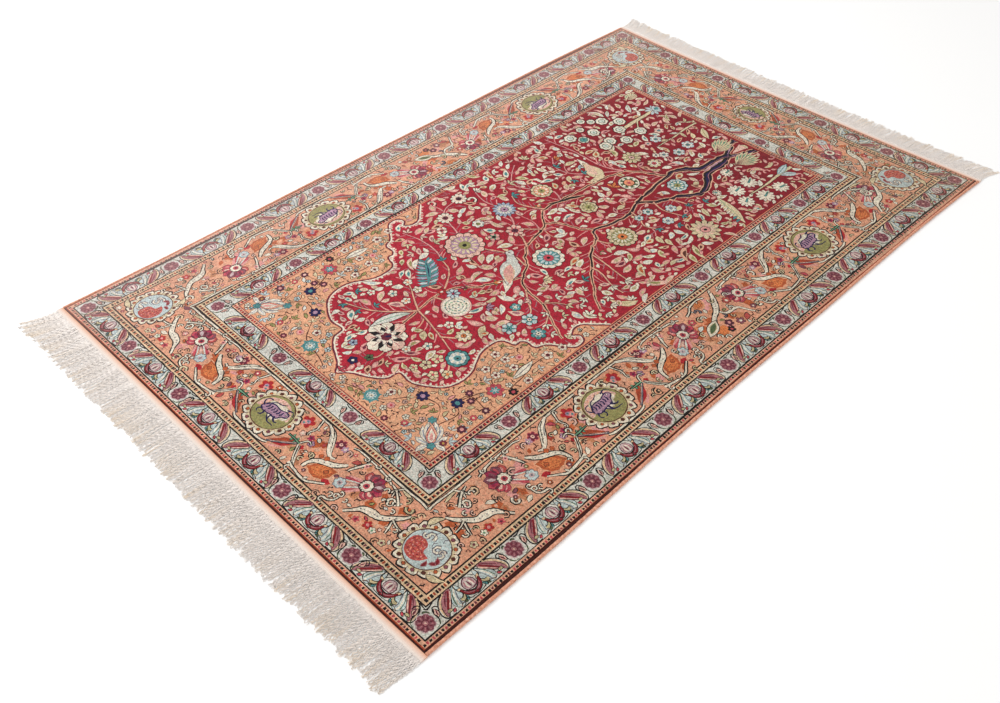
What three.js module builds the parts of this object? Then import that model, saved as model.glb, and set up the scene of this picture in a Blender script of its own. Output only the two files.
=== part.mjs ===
// A hand-knotted silk prayer rug from Kayseri, lying flat on the floor.
// The frame is millimetres with +Z up. +X runs across the rug, +Y along it from the near fringe
// to the far one, and the origin is on the floor under the middle of the whole rug.
// The pieces are those that are woven or sewn apart: the knotted pile, an overcast selvedge down
// each long side, and at each end a flat-woven strip whose warp ends hang out as the fringe.
import * as THREE from 'three';

// Knotted pile
const PILE_WIDTH = 920;
const PILE_LENGTH = 1480;
const PILE_THICKNESS = 4.2;
const PILE_UNEVEN = 0.35;
const PILE_STEPS_ACROSS = 20;
const PILE_STEPS_ALONG = 32;

// How the woven piece strays from a true rectangle as it lies
const SWAY_BOW = 4.8;
const SWAY_TILT = 2.2;
const SWAY_RIPPLE = 1.5;
const WAIST = 2.5;
const NEAR_SLANT = 3;
const FAR_HOLLOW = 5;
const FAR_CORNER = 6;

// Overcast selvedges
const SELVEDGE_WIDTH = 6;
const SELVEDGE_HEIGHT = 4.6;
const SELVEDGE_STEPS = 32;

// Flat-woven ends and fringes
const STRIP_DEPTH = 12;
const STRIP_THICKNESS = 2.4;
const STRIP_STEPS = 24;
const STRAND_COUNT = 120;
const STRAND_WIDTH = 5.2;
const STRAND_TIP_WIDTH = 3.4;
const STRAND_TIP_THICKNESS = 1.3;
const STRAND_STEPS = 3;
const STRAND_WAVE = 0.7;
const FRINGES = [
  { name: 'fringe_near', end: -1, length: 68, uneven: 8, leanFirst: -16, leanLast: -4 },
  { name: 'fringe_far', end: 1, length: 54, uneven: 7, leanFirst: -16, leanLast: 14 },
];

const CLEARANCE = 0.3;

// The near fringe is the longer, so the middle of the pile lies this far beyond the whole rug's
const PILE_MIDDLE_Y = 6.4;

// Where a point of the ideal rectangle lies on the floor. x and y start at the middle of the pile.
// The long sides bow and ripple together and draw in a little halfway, the near end slants, and
// the far end is hollow with one corner pulled out.
function lie(x, y) {
  const across = x / PILE_WIDTH + 0.5;
  const along = y / PILE_LENGTH + 0.5;
  const turn = Math.PI * Math.min(Math.max(along, 0), 1);
  const sway = SWAY_TILT * Math.sin(2 * turn) + SWAY_RIPPLE * Math.sin(4 * turn) - SWAY_BOW * Math.sin(turn);
  const waist = -2 * (across - 0.5) * WAIST * Math.sin(turn);
  const near = NEAR_SLANT * (Math.cos(1.2 * Math.PI * across) - 1.1);
  const far = 1.5 - FAR_HOLLOW * Math.sin(Math.PI * across) + FAR_CORNER * across ** 4;
  return [
    x + sway + waist,
    y + (1 - along) * near + along * far + PILE_MIDDLE_Y,
  ];
}

// Height of the pile's top, which rises and falls gently and rounds down at its rim
function pileTop(x, y) {
  const swell = Math.sin(x / 97 + 0.6) * Math.cos(y / 131) + 0.6 * Math.sin(x / 43 + y / 61);
  const rim = Math.min(PILE_WIDTH / 2 - Math.abs(x), PILE_LENGTH / 2 - Math.abs(y)) < 1 ? 0.8 : 0;
  return PILE_THICKNESS + PILE_UNEVEN * swell - rim;
}

// A steady value from 0 to 1 for each strand and purpose
function chance(index, purpose) {
  const wave = Math.sin(index * 12.9898 + purpose * 78.233) * 43758.5453;
  return wave - Math.floor(wave);
}

// Closed sheet: a raised grid on top, walls at its rim, and one flat underside on the floor
function pileGeometry() {
  const top = new THREE.PlaneGeometry(PILE_WIDTH, PILE_LENGTH, PILE_STEPS_ACROSS, PILE_STEPS_ALONG);
  const place = top.getAttribute('position');
  const points = [];
  for (let i = 0; i < place.count; i += 1) {
    const x = place.getX(i);
    const y = place.getY(i);
    points.push([...lie(x, y), pileTop(x, y)]);
  }
  const triangles = [];
  const order = top.getIndex();
  for (let i = 0; i < order.count; i += 3) {
    triangles.push([order.getX(i), order.getX(i + 1), order.getX(i + 2)]);
  }
  const row = PILE_STEPS_ACROSS + 1;
  const rim = [];
  for (let i = 0; i < PILE_STEPS_ACROSS; i += 1) rim.push(PILE_STEPS_ALONG * row + i);
  for (let j = PILE_STEPS_ALONG; j > 0; j -= 1) rim.push(j * row + PILE_STEPS_ACROSS);
  for (let i = PILE_STEPS_ACROSS; i > 0; i -= 1) rim.push(i);
  for (let j = 0; j < PILE_STEPS_ALONG; j += 1) rim.push(j * row);
  const floor = rim.map((corner) => {
    points.push([points[corner][0], points[corner][1], 0]);
    return points.length - 1;
  });
  rim.forEach((corner, i) => {
    const next = (i + 1) % rim.length;
    triangles.push([corner, floor[i], rim[next]]);
    triangles.push([rim[next], floor[i], floor[next]]);
  });
  const outline = floor.map((corner) => new THREE.Vector2(points[corner][0], points[corner][1]));
  for (const [a, b, c] of THREE.ShapeUtils.triangulateShape(outline, [])) {
    triangles.push([floor[a], floor[c], floor[b]]);
  }
  const geometry = new THREE.BufferGeometry();
  geometry.setAttribute('position', new THREE.Float32BufferAttribute(points.flat(), 3));
  geometry.setIndex(triangles.flat());
  geometry.computeVertexNormals();
  return geometry;
}

// Round-topped bar down one long side, flat where it lies on the floor
function selvedgeGeometry(side) {
  const half = SELVEDGE_WIDTH / 2;
  const section = new THREE.Shape();
  section.moveTo(-half * 0.8, 0);
  section.lineTo(half * 0.8, 0);
  section.lineTo(half, SELVEDGE_HEIGHT * 0.35);
  section.absellipse(0, SELVEDGE_HEIGHT * 0.5, half, SELVEDGE_HEIGHT * 0.5, 0.15, Math.PI - 0.15, false);
  section.lineTo(-half, SELVEDGE_HEIGHT * 0.35);
  const bar = new THREE.ExtrudeGeometry(section, {
    depth: PILE_LENGTH,
    steps: SELVEDGE_STEPS,
    bevelEnabled: false,
    curveSegments: 5,
  });
  const middle = side * (PILE_WIDTH / 2 + CLEARANCE + half);
  const place = bar.getAttribute('position');
  for (let i = 0; i < place.count; i += 1) {
    const [x, y] = lie(middle - place.getX(i), place.getZ(i) - PILE_LENGTH / 2);
    place.setXYZ(i, x, y, place.getY(i));
  }
  bar.computeVertexNormals();
  return bar;
}

// Outline of a flat-woven end and its strands, drawn with the strands pointing to -Y
function fringeOutline({ length, uneven, leanFirst, leanLast }) {
  const halfWidth = PILE_WIDTH / 2 + SELVEDGE_WIDTH;
  const pitch = (2 * halfWidth) / STRAND_COUNT;
  const outline = [];
  for (let step = 0; step <= STRIP_STEPS; step += 1) {
    outline.push(new THREE.Vector2(halfWidth * (1 - (2 * step) / STRIP_STEPS), 0));
  }
  for (let strand = 0; strand < STRAND_COUNT; strand += 1) {
    const share = (strand + 0.5) / STRAND_COUNT;
    const middle = -halfWidth + (strand + 0.5) * pitch;
    const reach = length - uneven * chance(strand, 1);
    const lean = leanFirst * (1 - share) ** 6 + leanLast * share ** 6;
    const phase = 2 * Math.PI * chance(strand, 2);
    const left = [];
    const right = [];
    for (let step = 0; step <= STRAND_STEPS; step += 1) {
      const out = step / STRAND_STEPS;
      const width = STRAND_WIDTH + (STRAND_TIP_WIDTH - STRAND_WIDTH) * out;
      const wave = STRAND_WAVE * Math.sin(phase + 5 * out) * Math.min(1, 3 * out);
      const x = middle + lean * out * out + wave;
      const y = -STRIP_DEPTH - reach * out;
      left.push(new THREE.Vector2(x - width / 2, y));
      right.push(new THREE.Vector2(x + width / 2, y));
    }
    outline.push(...left, ...right.reverse());
  }
  return outline;
}

// The flat-woven end with its strands, thick where it is woven and thinning to the tips
function fringeGeometry(fringe) {
  const comb = new THREE.ExtrudeGeometry(new THREE.Shape(fringeOutline(fringe)), {
    depth: 1,
    steps: 1,
    bevelEnabled: false,
  });
  const place = comb.getAttribute('position');
  const root = PILE_LENGTH / 2 + CLEARANCE;
  for (let i = 0; i < place.count; i += 1) {
    const out = -place.getY(i);
    const thin = Math.max(0, out - STRIP_DEPTH) / fringe.length;
    const top = STRIP_THICKNESS + (STRAND_TIP_THICKNESS - STRIP_THICKNESS) * thin;
    const [x, y] = lie(-fringe.end * place.getX(i), fringe.end * (root + out));
    place.setXYZ(i, x, y, place.getZ(i) * top);
  }
  comb.computeVertexNormals();
  return comb;
}

function cloth(name, geometry, color, roughness) {
  const material = new THREE.MeshStandardMaterial({ color, roughness, metalness: 0 });
  const mesh = new THREE.Mesh(geometry, material);
  mesh.name = name;
  return mesh;
}

const rug = new THREE.Group();
rug.add(cloth('rug_pile', pileGeometry(), 0xb5613f, 0.55));
rug.add(cloth('selvedge_left', selvedgeGeometry(-1), 0xcf8468, 0.75));
rug.add(cloth('selvedge_right', selvedgeGeometry(1), 0xcf8468, 0.75));
for (const fringe of FRINGES) {
  rug.add(cloth(fringe.name, fringeGeometry(fringe), 0xe3dbd2, 0.8));
}

export default rug;
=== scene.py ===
"""A hand-knotted Kayseri prayer rug of silk, lying flat on a pale floor."""
import math

import bpy
import numpy as np
from mathutils import Matrix, Vector, geometry


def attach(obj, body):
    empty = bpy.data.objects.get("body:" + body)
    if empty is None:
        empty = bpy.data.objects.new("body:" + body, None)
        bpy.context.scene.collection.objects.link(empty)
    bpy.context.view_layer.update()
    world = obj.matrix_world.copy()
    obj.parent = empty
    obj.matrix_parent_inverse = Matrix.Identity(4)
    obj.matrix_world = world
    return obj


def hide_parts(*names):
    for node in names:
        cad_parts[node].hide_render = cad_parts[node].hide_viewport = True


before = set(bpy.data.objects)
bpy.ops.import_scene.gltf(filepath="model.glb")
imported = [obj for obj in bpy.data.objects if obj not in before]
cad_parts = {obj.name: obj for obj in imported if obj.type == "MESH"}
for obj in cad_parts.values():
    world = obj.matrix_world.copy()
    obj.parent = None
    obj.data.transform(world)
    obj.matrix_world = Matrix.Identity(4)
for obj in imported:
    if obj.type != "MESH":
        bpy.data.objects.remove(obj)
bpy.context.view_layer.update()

# Camera. It stands beyond the rug's near right corner and looks down across it, and the
# picture is 1000 by 703. Its lens is a little longer than normal.
EYE = Vector((1.0049, -1.1713, 1.1853))
AIM = Vector((0.1393, -0.2804, 0.0042))
ROLL = math.radians(0.82)
LENS = 37.5
SENSOR_WIDTH = 36

view = bpy.data.cameras.new("view")
view.lens = LENS
view.sensor_width = SENSOR_WIDTH
camera = bpy.data.objects.new("view", view)
aim = (AIM - EYE).to_track_quat("-Z", "Y").to_matrix().to_4x4()
camera.matrix_world = Matrix.Translation(EYE) @ aim @ Matrix.Rotation(ROLL, 4, "Z")
bpy.context.collection.objects.link(camera)
bpy.context.scene.camera = camera
bpy.context.scene.view_settings.view_transform = "Standard"

# Floor and light. The floor is a wide matt white sheet. The light is a white sky with one
# large soft lamp up on the left of the rug and a weaker one behind the camera.
FLOOR_HALF = 8.0
FLOOR_WHITE = (0.93, 0.93, 0.925, 1)
SKY_WHITE = (1.0, 0.99, 0.98, 1)
SKY_STRENGTH = 0.78
LAMPS = (  # place, size, watts
    ((-1.9, -0.4, 2.4), 1.8, 52),
    ((2.2, -2.4, 2.6), 2.2, 16),
)


def mesh_object(name, points, faces, collection=None):
    """A new object whose mesh has these points and faces, in metres."""
    mesh = bpy.data.meshes.new(name)
    mesh.from_pydata(points, [], faces)
    mesh.update()
    thing = bpy.data.objects.new(name, mesh)
    (collection or bpy.context.collection).objects.link(thing)
    return thing


class Nodes:
    """The node tree of one new material, with a short way to add and join nodes."""

    def __init__(self, name, **shader):
        self.material = bpy.data.materials.new(name)
        self.material.use_nodes = True
        self.tree = self.material.node_tree
        self.shader = self.tree.nodes["Principled BSDF"]
        for socket, value in shader.items():
            self.shader.inputs[socket.replace("_", " ")].default_value = value

    def add(self, kind, settings=(), **inputs):
        """Adds a node. An input is a plain value or the output of an earlier node."""
        node = self.tree.nodes.new("ShaderNode" + kind)
        for name, value in dict(settings).items():
            setattr(node, name, value)
        for key, value in inputs.items():
            place = int(key[2:]) if key.startswith("in") and key[2:].isdigit() else key.replace("_", " ")
            if isinstance(value, bpy.types.NodeSocket):
                self.tree.links.new(value, node.inputs[place])
            else:
                node.inputs[place].default_value = value
        return node

    def math(self, work, a, b=0.0):
        """One sum of two values, such as MULTIPLY."""
        return self.add("Math", {"operation": work}, in0=a, in1=b).outputs[0]

    def ramp(self, value, *stops):
        """Colours along a scale: each stop is a place from 0 to 1 and a grey or a colour."""
        node = self.add("ValToRGB", in0=value)
        scale = node.color_ramp.elements
        while len(scale) < len(stops):
            scale.new(1)
        for mark, (place, colour) in zip(scale, stops):
            mark.position = place
            mark.color = (*colour, 1) if isinstance(colour, tuple) else (colour, colour, colour, 1)
        return node.outputs[0]

    def join(self, output, socket):
        """Leads an output into a socket of the shader."""
        self.tree.links.new(output, self.shader.inputs[socket.replace("_", " ")])


floor_mesh = mesh_object(
    "floor",
    [(x * FLOOR_HALF, y * FLOOR_HALF, 0) for x, y in ((-1, -1), (1, -1), (1, 1), (-1, 1))],
    [(0, 1, 2, 3)],
)
floor_look = Nodes("floor_white", Base_Color=FLOOR_WHITE, Roughness=0.9)
floor_mesh.data.materials.append(floor_look.material)

sky = bpy.data.worlds.new("sky")
sky.use_nodes = True
for socket, value in enumerate((SKY_WHITE, SKY_STRENGTH)):
    sky.node_tree.nodes["Background"].inputs[socket].default_value = value
bpy.context.scene.world = sky
for number, (place, size, watts) in enumerate(LAMPS):
    lamp = bpy.data.lights.new(f"lamp_{number}", "AREA")
    lamp.size = size
    lamp.energy = watts
    lamp_object = bpy.data.objects.new(f"lamp_{number}", lamp)
    lamp_object.location = place
    lamp_object.rotation_euler = (-Vector(place)).to_track_quat("-Z", "Y").to_euler()
    bpy.context.collection.objects.link(lamp_object)

# Pile: how it lies. The rug is one knotted sheet of silk, 920 by 1480 mm without its ends. It
# was woven a little out of true, so its long sides sway and its ends bow, and it lies almost
# flat, with low swells. These are the same sizes and formulas as the frame's own, in mm.
MM = 0.001
PILE_WIDTH = 920
PILE_LENGTH = 1480
PILE_THICKNESS = 4.2
PILE_UNEVEN = 0.35
PILE_MIDDLE_Y = 6.4
SWAY_BOW = 4.8
SWAY_TILT = 2.2
SWAY_RIPPLE = 1.5
WAIST = 2.5
NEAR_SLANT = 3
FAR_HOLLOW = 5
FAR_CORNER = 6


def lie(x, y):
    """Where a point of the true rectangle lies, in mm. x and y start at the pile's middle. The
    sides sway by three sines of the way along and draw in by one, the near end slants by a
    cosine of the way across, and the far end is hollow by a sine with one corner pulled out."""
    across = x / PILE_WIDTH + 0.5
    along = y / PILE_LENGTH + 0.5
    turn = np.pi * np.clip(along, 0, 1)
    sway = SWAY_TILT * np.sin(2 * turn) + SWAY_RIPPLE * np.sin(4 * turn) - SWAY_BOW * np.sin(turn)
    waist = -2 * (across - 0.5) * WAIST * np.sin(turn)
    near = NEAR_SLANT * (np.cos(1.2 * np.pi * across) - 1.1)
    far = 1.5 - FAR_HOLLOW * np.sin(np.pi * across) + FAR_CORNER * across**4
    return x + sway + waist, y + (1 - along) * near + along * far + PILE_MIDDLE_Y


def pile_top(x, y):
    """Height of the pile's top in mm: two slow waves, rounded down in the last 2 mm at its rim."""
    swell = np.sin(x / 97 + 0.6) * np.cos(y / 131) + 0.6 * np.sin(x / 43 + y / 61)
    inside = np.minimum(PILE_WIDTH / 2 - abs(x), PILE_LENGTH / 2 - abs(y))
    rim = 0.8 * (1 - np.clip(inside / 2, 0, 1)) ** 2
    return PILE_THICKNESS + PILE_UNEVEN * swell - rim


# Pile: the drawing. A carpet's pattern is drawn out in full before it is knotted. Here each
# figure is a closed outline filled with one dye, and later figures cover earlier ones. The
# drawing is in mm, with x across and y along from the near left corner of the pile.
DYES = {  # name: red, green, blue as seen, 0 to 255
    "crimson": (184, 40, 62),
    # The three deeper crimsons that follow are painted shade towards the far end.
    "crimson 2": (172, 34, 54),
    "crimson 3": (158, 28, 46),
    "crimson 4": (146, 25, 42),
    "wine": (118, 44, 64),
    "plum": (98, 44, 66),
    "black": (30, 20, 20),
    "brown": (98, 52, 38),
    "brick": (178, 78, 48),
    "dark red": (72, 26, 20),
    "rust": (196, 104, 62),
    "orange": (226, 138, 84),
    "apricot": (236, 182, 148),
    "salmon": (236, 160, 124),
    "red": (186, 44, 52),
    "rose": (200, 84, 98),
    "magenta": (168, 46, 86),
    "pink": (232, 168, 164),
    "blush": (238, 200, 186),
    "lilac": (186, 150, 176),
    "ivory": (240, 234, 218),
    "cream": (226, 212, 178),
    "khaki": (206, 194, 156),
    "tan": (204, 142, 106),
    "peach": (232, 184, 158),
    "sand": (234, 206, 172),
    "melon": (230, 172, 144),
    "tomato": (196, 92, 86),
    "blood": (138, 34, 44),
    "maroon": (98, 26, 38),
    "mauve": (142, 84, 98),
    "old rose": (178, 122, 130),
    "dusk": (208, 186, 190),
    "gold": (206, 168, 92),
    "olive": (160, 158, 104),
    "moss": (92, 112, 78),
    "sage": (222, 225, 219),
    "ice": (200, 218, 221),
    "teal": (88, 152, 156),
    "green": (120, 172, 140),
    "sky": (170, 184, 204),
    "grey": (120, 116, 128),
    "indigo": (38, 30, 84),
}
SHADES = list(DYES)


def facing(angle):
    """The turn by an angle in radians, as a complex number of length 1."""
    return np.exp(1j * angle)


def smooth(points, step=5.0, closed=False):
    """Points about a step apart on a curve through the given ones, a Catmull-Rom spline: each
    stretch is a cubic of its four nearest points."""
    z = np.asarray(points, complex)
    if closed:
        z = np.concatenate((z, z[:1]))
        before, after = z[-2:-1], z[1:2]
    else:
        before, after = 2 * z[:1] - z[1:2], 2 * z[-1:] - z[-2:-1]
    stretches = len(z) - 1
    count = max(math.ceil(np.abs(np.diff(z)).sum() / step), stretches) + 1
    z = np.concatenate((before, z, after))
    t = np.linspace(0, stretches, count)[: -1 if closed else None]
    i = np.minimum(t.astype(int), stretches - 1)
    t = t - i
    a, b, c, d = z[i], z[i + 1], z[i + 2], z[i + 3]
    return 0.5 * (2 * b + (c - a) * t + (2 * a - 5 * b + 4 * c - d) * t**2 + (3 * b - a - 3 * c + d) * t**3)


OUTLINE = 1.6  # how much wider than drawn an outline is woven, as no line is finer than a knot


class Pen:
    """The weaver's pen. A point z = x + iy in the pen's own axes falls on origin + turn * z of
    the drawing, or on origin + turn * (mirror image of z) where the pen is flipped."""

    def __init__(self, drawing, origin=0, turn=1, flip=False):
        self.drawing, self.origin, self.turn, self.flip = drawing, origin, turn, flip

    def place(self, z):
        """Where the pen's own points fall on the drawing."""
        z = np.asarray(z, complex)
        return self.origin + self.turn * (np.conj(z) if self.flip else z)

    def at(self, where, turn=1, flip=False):
        """Another pen, whose origin, turn and flip are given in this one's axes."""
        own = np.conj(turn) if self.flip else turn
        return Pen(self.drawing, complex(self.place(where)), self.turn * own, self.flip != flip)

    def to(self, x, y, angle=0):
        """Another pen at x and y of this one's axes, turned by an angle."""
        return self.at(x + 1j * y, facing(angle))

    def fill(self, outline, dye, rim=None, rim_width=0.9):
        """A closed outline in one dye, over a slightly larger one in the rim's dye."""
        z = self.place(outline)
        if (np.conj(z) * np.roll(z, -1)).imag.sum() < 0:
            z = z[::-1]
        if rim:
            along = np.roll(z, -1) - np.roll(z, 1)
            wider = z - 1j * OUTLINE * rim_width * along / np.maximum(np.abs(along), 1e-6)
            self.drawing.append((wider, [range(len(z))], rim))
        self.drawing.append((z, [range(len(z))], dye))

    def line(self, points, width, dye, rim=None, rim_width=1.0, step=6.0):
        """A smooth line through the points. Its width is one value or several, evenly spaced
        along it, and it is drawn as a chain of four-sided pieces."""
        path = smooth(self.place(points), step)
        count = len(path)
        width = np.atleast_1d(width)
        half = np.interp(np.linspace(0, 1, count), np.linspace(0, 1, len(width)), width) / 2
        side = np.gradient(path)
        side *= 1j / np.maximum(np.abs(side), 1e-6)
        links = [(i, i + 1, count + i + 1, count + i) for i in range(count - 1)]
        for extra, colour in ((OUTLINE * rim_width, rim), (0, dye)):
            if colour:
                edges = np.concatenate((path - side * (half + extra), path + side * (half + extra)))
                self.drawing.append((edges, links, colour))


def disc(radius, count=0):
    """A circle's outline."""
    count = count or max(6, round(radius * 2))
    return radius * facing(2 * np.pi * np.arange(count) / count)


def scalloped(radius, lobes, depth=0.2, each=5, stretch=1.0):
    """A ring of lobes: the radius shrinks by the depth wherever the cosine of half the lobes'
    turn is nothing. Stretch makes it longer along the pen's x axis."""
    a = 2 * np.pi * np.arange(lobes * each) / (lobes * each)
    r = radius * (1 - depth + depth * np.abs(np.cos(lobes * a / 2)) ** 0.7)
    return r * (stretch * np.cos(a) + 1j * np.sin(a))


def leaf(length, width, bend=0.0, belly=0.5, count=5):
    """A leaf that starts at the origin along x: its spine turns by the bend, its half width is
    a sine of the way along, and belly is where it is widest."""
    t = np.linspace(0, 1, count + 2)
    spine = length * t * facing(bend * t)
    half = width / 2 * np.sin(np.pi * t ** (np.log(0.5) / np.log(belly)))
    side = np.gradient(spine)
    side *= 1j / np.abs(side)
    return np.concatenate((spine - side * half, (spine + side * half)[-2:0:-1]))


def in_outline(spots, outline):
    """Whether each spot is inside: a line from it to the right crosses the outline's edges an
    odd number of times."""
    x, y = outline.real, outline.imag
    x2, y2 = np.roll(x, -1), np.roll(y, -1)
    rise = np.where(y2 == y, 1, y2 - y)
    px, py = spots.real[:, None], spots.imag[:, None]
    crossed = ((y > py) != (y2 > py)) & (px < x + (py - y) / rise * (x2 - x))
    return crossed.sum(axis=1) % 2 == 1


CELL = 8.0


def topmost(spots, outlines):
    """The number of the last outline round each spot. The spots are sorted into square cells
    first, so that each outline is tested only against those that are near it."""
    rows = math.ceil(PILE_LENGTH / CELL) + 1
    cell = (spots.real // CELL).astype(int) * rows + (spots.imag // CELL).astype(int)
    order = np.argsort(cell, kind="stable")
    cell, sorted_spots = cell[order], spots[order]
    found = np.full(len(spots), -1)
    for number, outline in enumerate(outlines):
        x, y = outline.real, outline.imag
        left, right = max(int(x.min() // CELL), 0), int(x.max() // CELL)
        low, high = max(int(y.min() // CELL), 0), min(max(int(y.max() // CELL), 0), rows - 1)
        column = np.arange(left, right + 1) * rows
        starts = np.searchsorted(cell, column + low)
        ends = np.searchsorted(cell, column + high, "right")
        near = np.concatenate([np.arange(a, b) for a, b in zip(starts, ends)])
        if len(near):
            found[near[in_outline(sorted_spots[near], outline)]] = number
    answer = np.empty(len(spots), int)
    answer[order] = found
    return answer


class Ground:
    """The small squares of the drawing between two corners that still show one of the given
    dyes. A small figure is set only where all its squares are bare, which are then taken."""

    SQUARE = 1.5

    def __init__(self, low, high, dyes):
        self.low = low
        shape = (int((high - low).real / self.SQUARE), int((high - low).imag / self.SQUARE))
        i, j = np.meshgrid(*(np.arange(n) + 0.5 for n in shape), indexing="ij")
        spots = low + self.SQUARE * (i + 1j * j)
        outlines, shades = [], []
        for points, parts, dye in drawing:
            for part in parts:
                outlines.append(points[np.array(part)])
                shades.append(dye in dyes)
        self.bare = np.array(shades)[topmost(spots.ravel(), outlines)].reshape(shape)

    def squares(self, z):
        """The row and column of the square under each point."""
        z = (z - self.low) / self.SQUARE
        return z.real.astype(int), z.imag.astype(int)

    def take(self, pen, length, width, belly=0.5, keep=1.3):
        """Takes the squares under a leaf of this size and says whether all were bare."""
        count = max(round(length / self.SQUARE), 3)
        t = np.linspace(0.06, 1, count)[:, None]
        side = np.linspace(-1, 1, max(round(width / self.SQUARE) + 1, 3))[None]
        half = (width / 2 + keep) * np.sin(np.pi * t ** (np.log(0.5) / np.log(belly)))
        i, j = self.squares(pen.place(length * t + 1j * half * side).ravel())
        rows, columns = self.bare.shape
        if i.min() < 0 or j.min() < 0 or i.max() >= rows or j.max() >= columns or not self.bare[i, j].all():
            return False
        self.bare[i, j] = False
        return True

    def seeds(self, spacing, rng):
        """Bare places about this far apart, in a random order."""
        i, j = np.nonzero(self.bare)
        z = self.low + self.SQUARE * (i + 0.5 + 1j * (j + 0.5))
        wanted = max(1, round(len(z) * (self.SQUARE / spacing) ** 2))
        return z[rng.permutation(len(z))[:wanted]]


drawing = []
sheet = Pen(drawing)
CORNERS = (  # origin, turn and length of each side, anticlockwise from the near end
    (0, 1, PILE_WIDTH),
    (PILE_WIDTH, 1j, PILE_LENGTH),
    (PILE_WIDTH + PILE_LENGTH * 1j, -1, PILE_WIDTH),
    (PILE_LENGTH * 1j, -1j, PILE_LENGTH),
)

# Bands of the border, from the pile's edge to the field: a guard stripe, a narrow band, a guard,
# the wide band, a guard, a narrow band and a last guard. Each is one frame, laid over the last.
BANDS = (  # distance in from the edge, dye
    (0, "dark red"),
    (2.2, "brick"),
    (3.4, "peach"),
    (10.2, "black"),
    (12.4, "sage"),
    (45.0, "black"),
    (47.2, "sand"),
    (57.6, "black"),
    (60, "melon"),
    (159.4, "black"),
    (161.8, "sand"),
    (171.6, "black"),
    (173.8, "sage"),
    (204.0, "black"),
    (206.2, "peach"),
    (214.6, "wine"),
    (216.2, "salmon"),
    (218, "crimson"),
)
for inset, dye in BANDS:
    right, top = PILE_WIDTH - inset, PILE_LENGTH - inset
    sheet.fill((inset + inset * 1j, right + inset * 1j, right + top * 1j, inset + top * 1j), dye)

# Guard stripes: a thin stripe on each side of every band. Its repeat is a black block and a
# short red or wine bar, on a pale ground.
GUARDS = (  # outer and inner distance from the edge, dye of the bar
    (3.6, 10.0, "rose"),
    (48.2, 56.6, "brick"),
    (162.8, 170.6, "brick"),
    (207.0, 214.2, "red"),
)
GUARD_REPEAT = 10.4
for low, high, dye in GUARDS:
    tall = high - low
    for origin, turn, length in CORNERS:
        pen = sheet.at(origin, turn)
        places = np.linspace(low + 0.5 * tall, length - low - 0.5 * tall, round(length / GUARD_REPEAT))
        for k, s in enumerate(places[:-1]):
            lean = 0.3 * np.sin(1.7 * k)
            middle = s + (low + tall / 2) * 1j
            half = 0.31j * tall
            pen.fill(middle + np.array((-2.0 - half, 1.8 - half, 2.1 + lean + half, -1.7 + half)), "black")
            half = 0.3j * tall
            bar = np.array((-1.6 - half, 1.3 - half, 1.6 + lean + half, -1.4 + half))
            if k:
                pen.fill(middle - GUARD_REPEAT / 2 + bar, dye if k % 3 else "wine")


# Narrow bands: a row of wine rosettes on sage, with a palmette halfway between each two. Between
# a rosette and a palmette lie a slanting red blade, a pale wing and small buds, mirrored.
def petals(pen, radius, count, dye, rim=None, inner=0.2, width=0.8, turn=0.0, belly=0.6, rim_width=0.8):
    """Leaves set in a ring, each from the inner share of the radius out to the radius."""
    for k in range(count):
        way = facing(2 * np.pi * k / count + turn)
        breadth = 2 * np.pi * radius * belly / count * width
        shape = radius * inner + leaf(radius * (1 - inner), breadth, 0, belly, 3)
        pen.at(0, way).fill(shape, dye, rim, rim_width)


def wine_rosette(pen, radius=13.2):
    """A scalloped disc with eight dark petals, eight pale ones between them and a heart."""
    pen.fill(scalloped(radius, 8, 0.13, 4), "mauve", "dusk", 0.9)
    petals(pen, radius * 0.94, 8, "wine", inner=0.3, width=0.3, belly=0.62, turn=np.pi / 8)
    petals(pen, radius * 0.9, 8, "old rose", inner=0.36, width=0.34, belly=0.66)
    pen.fill(disc(radius * 0.3, 8), "old rose", "wine", 0.8)
    pen.fill(disc(radius * 0.12, 5), "blush")


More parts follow.
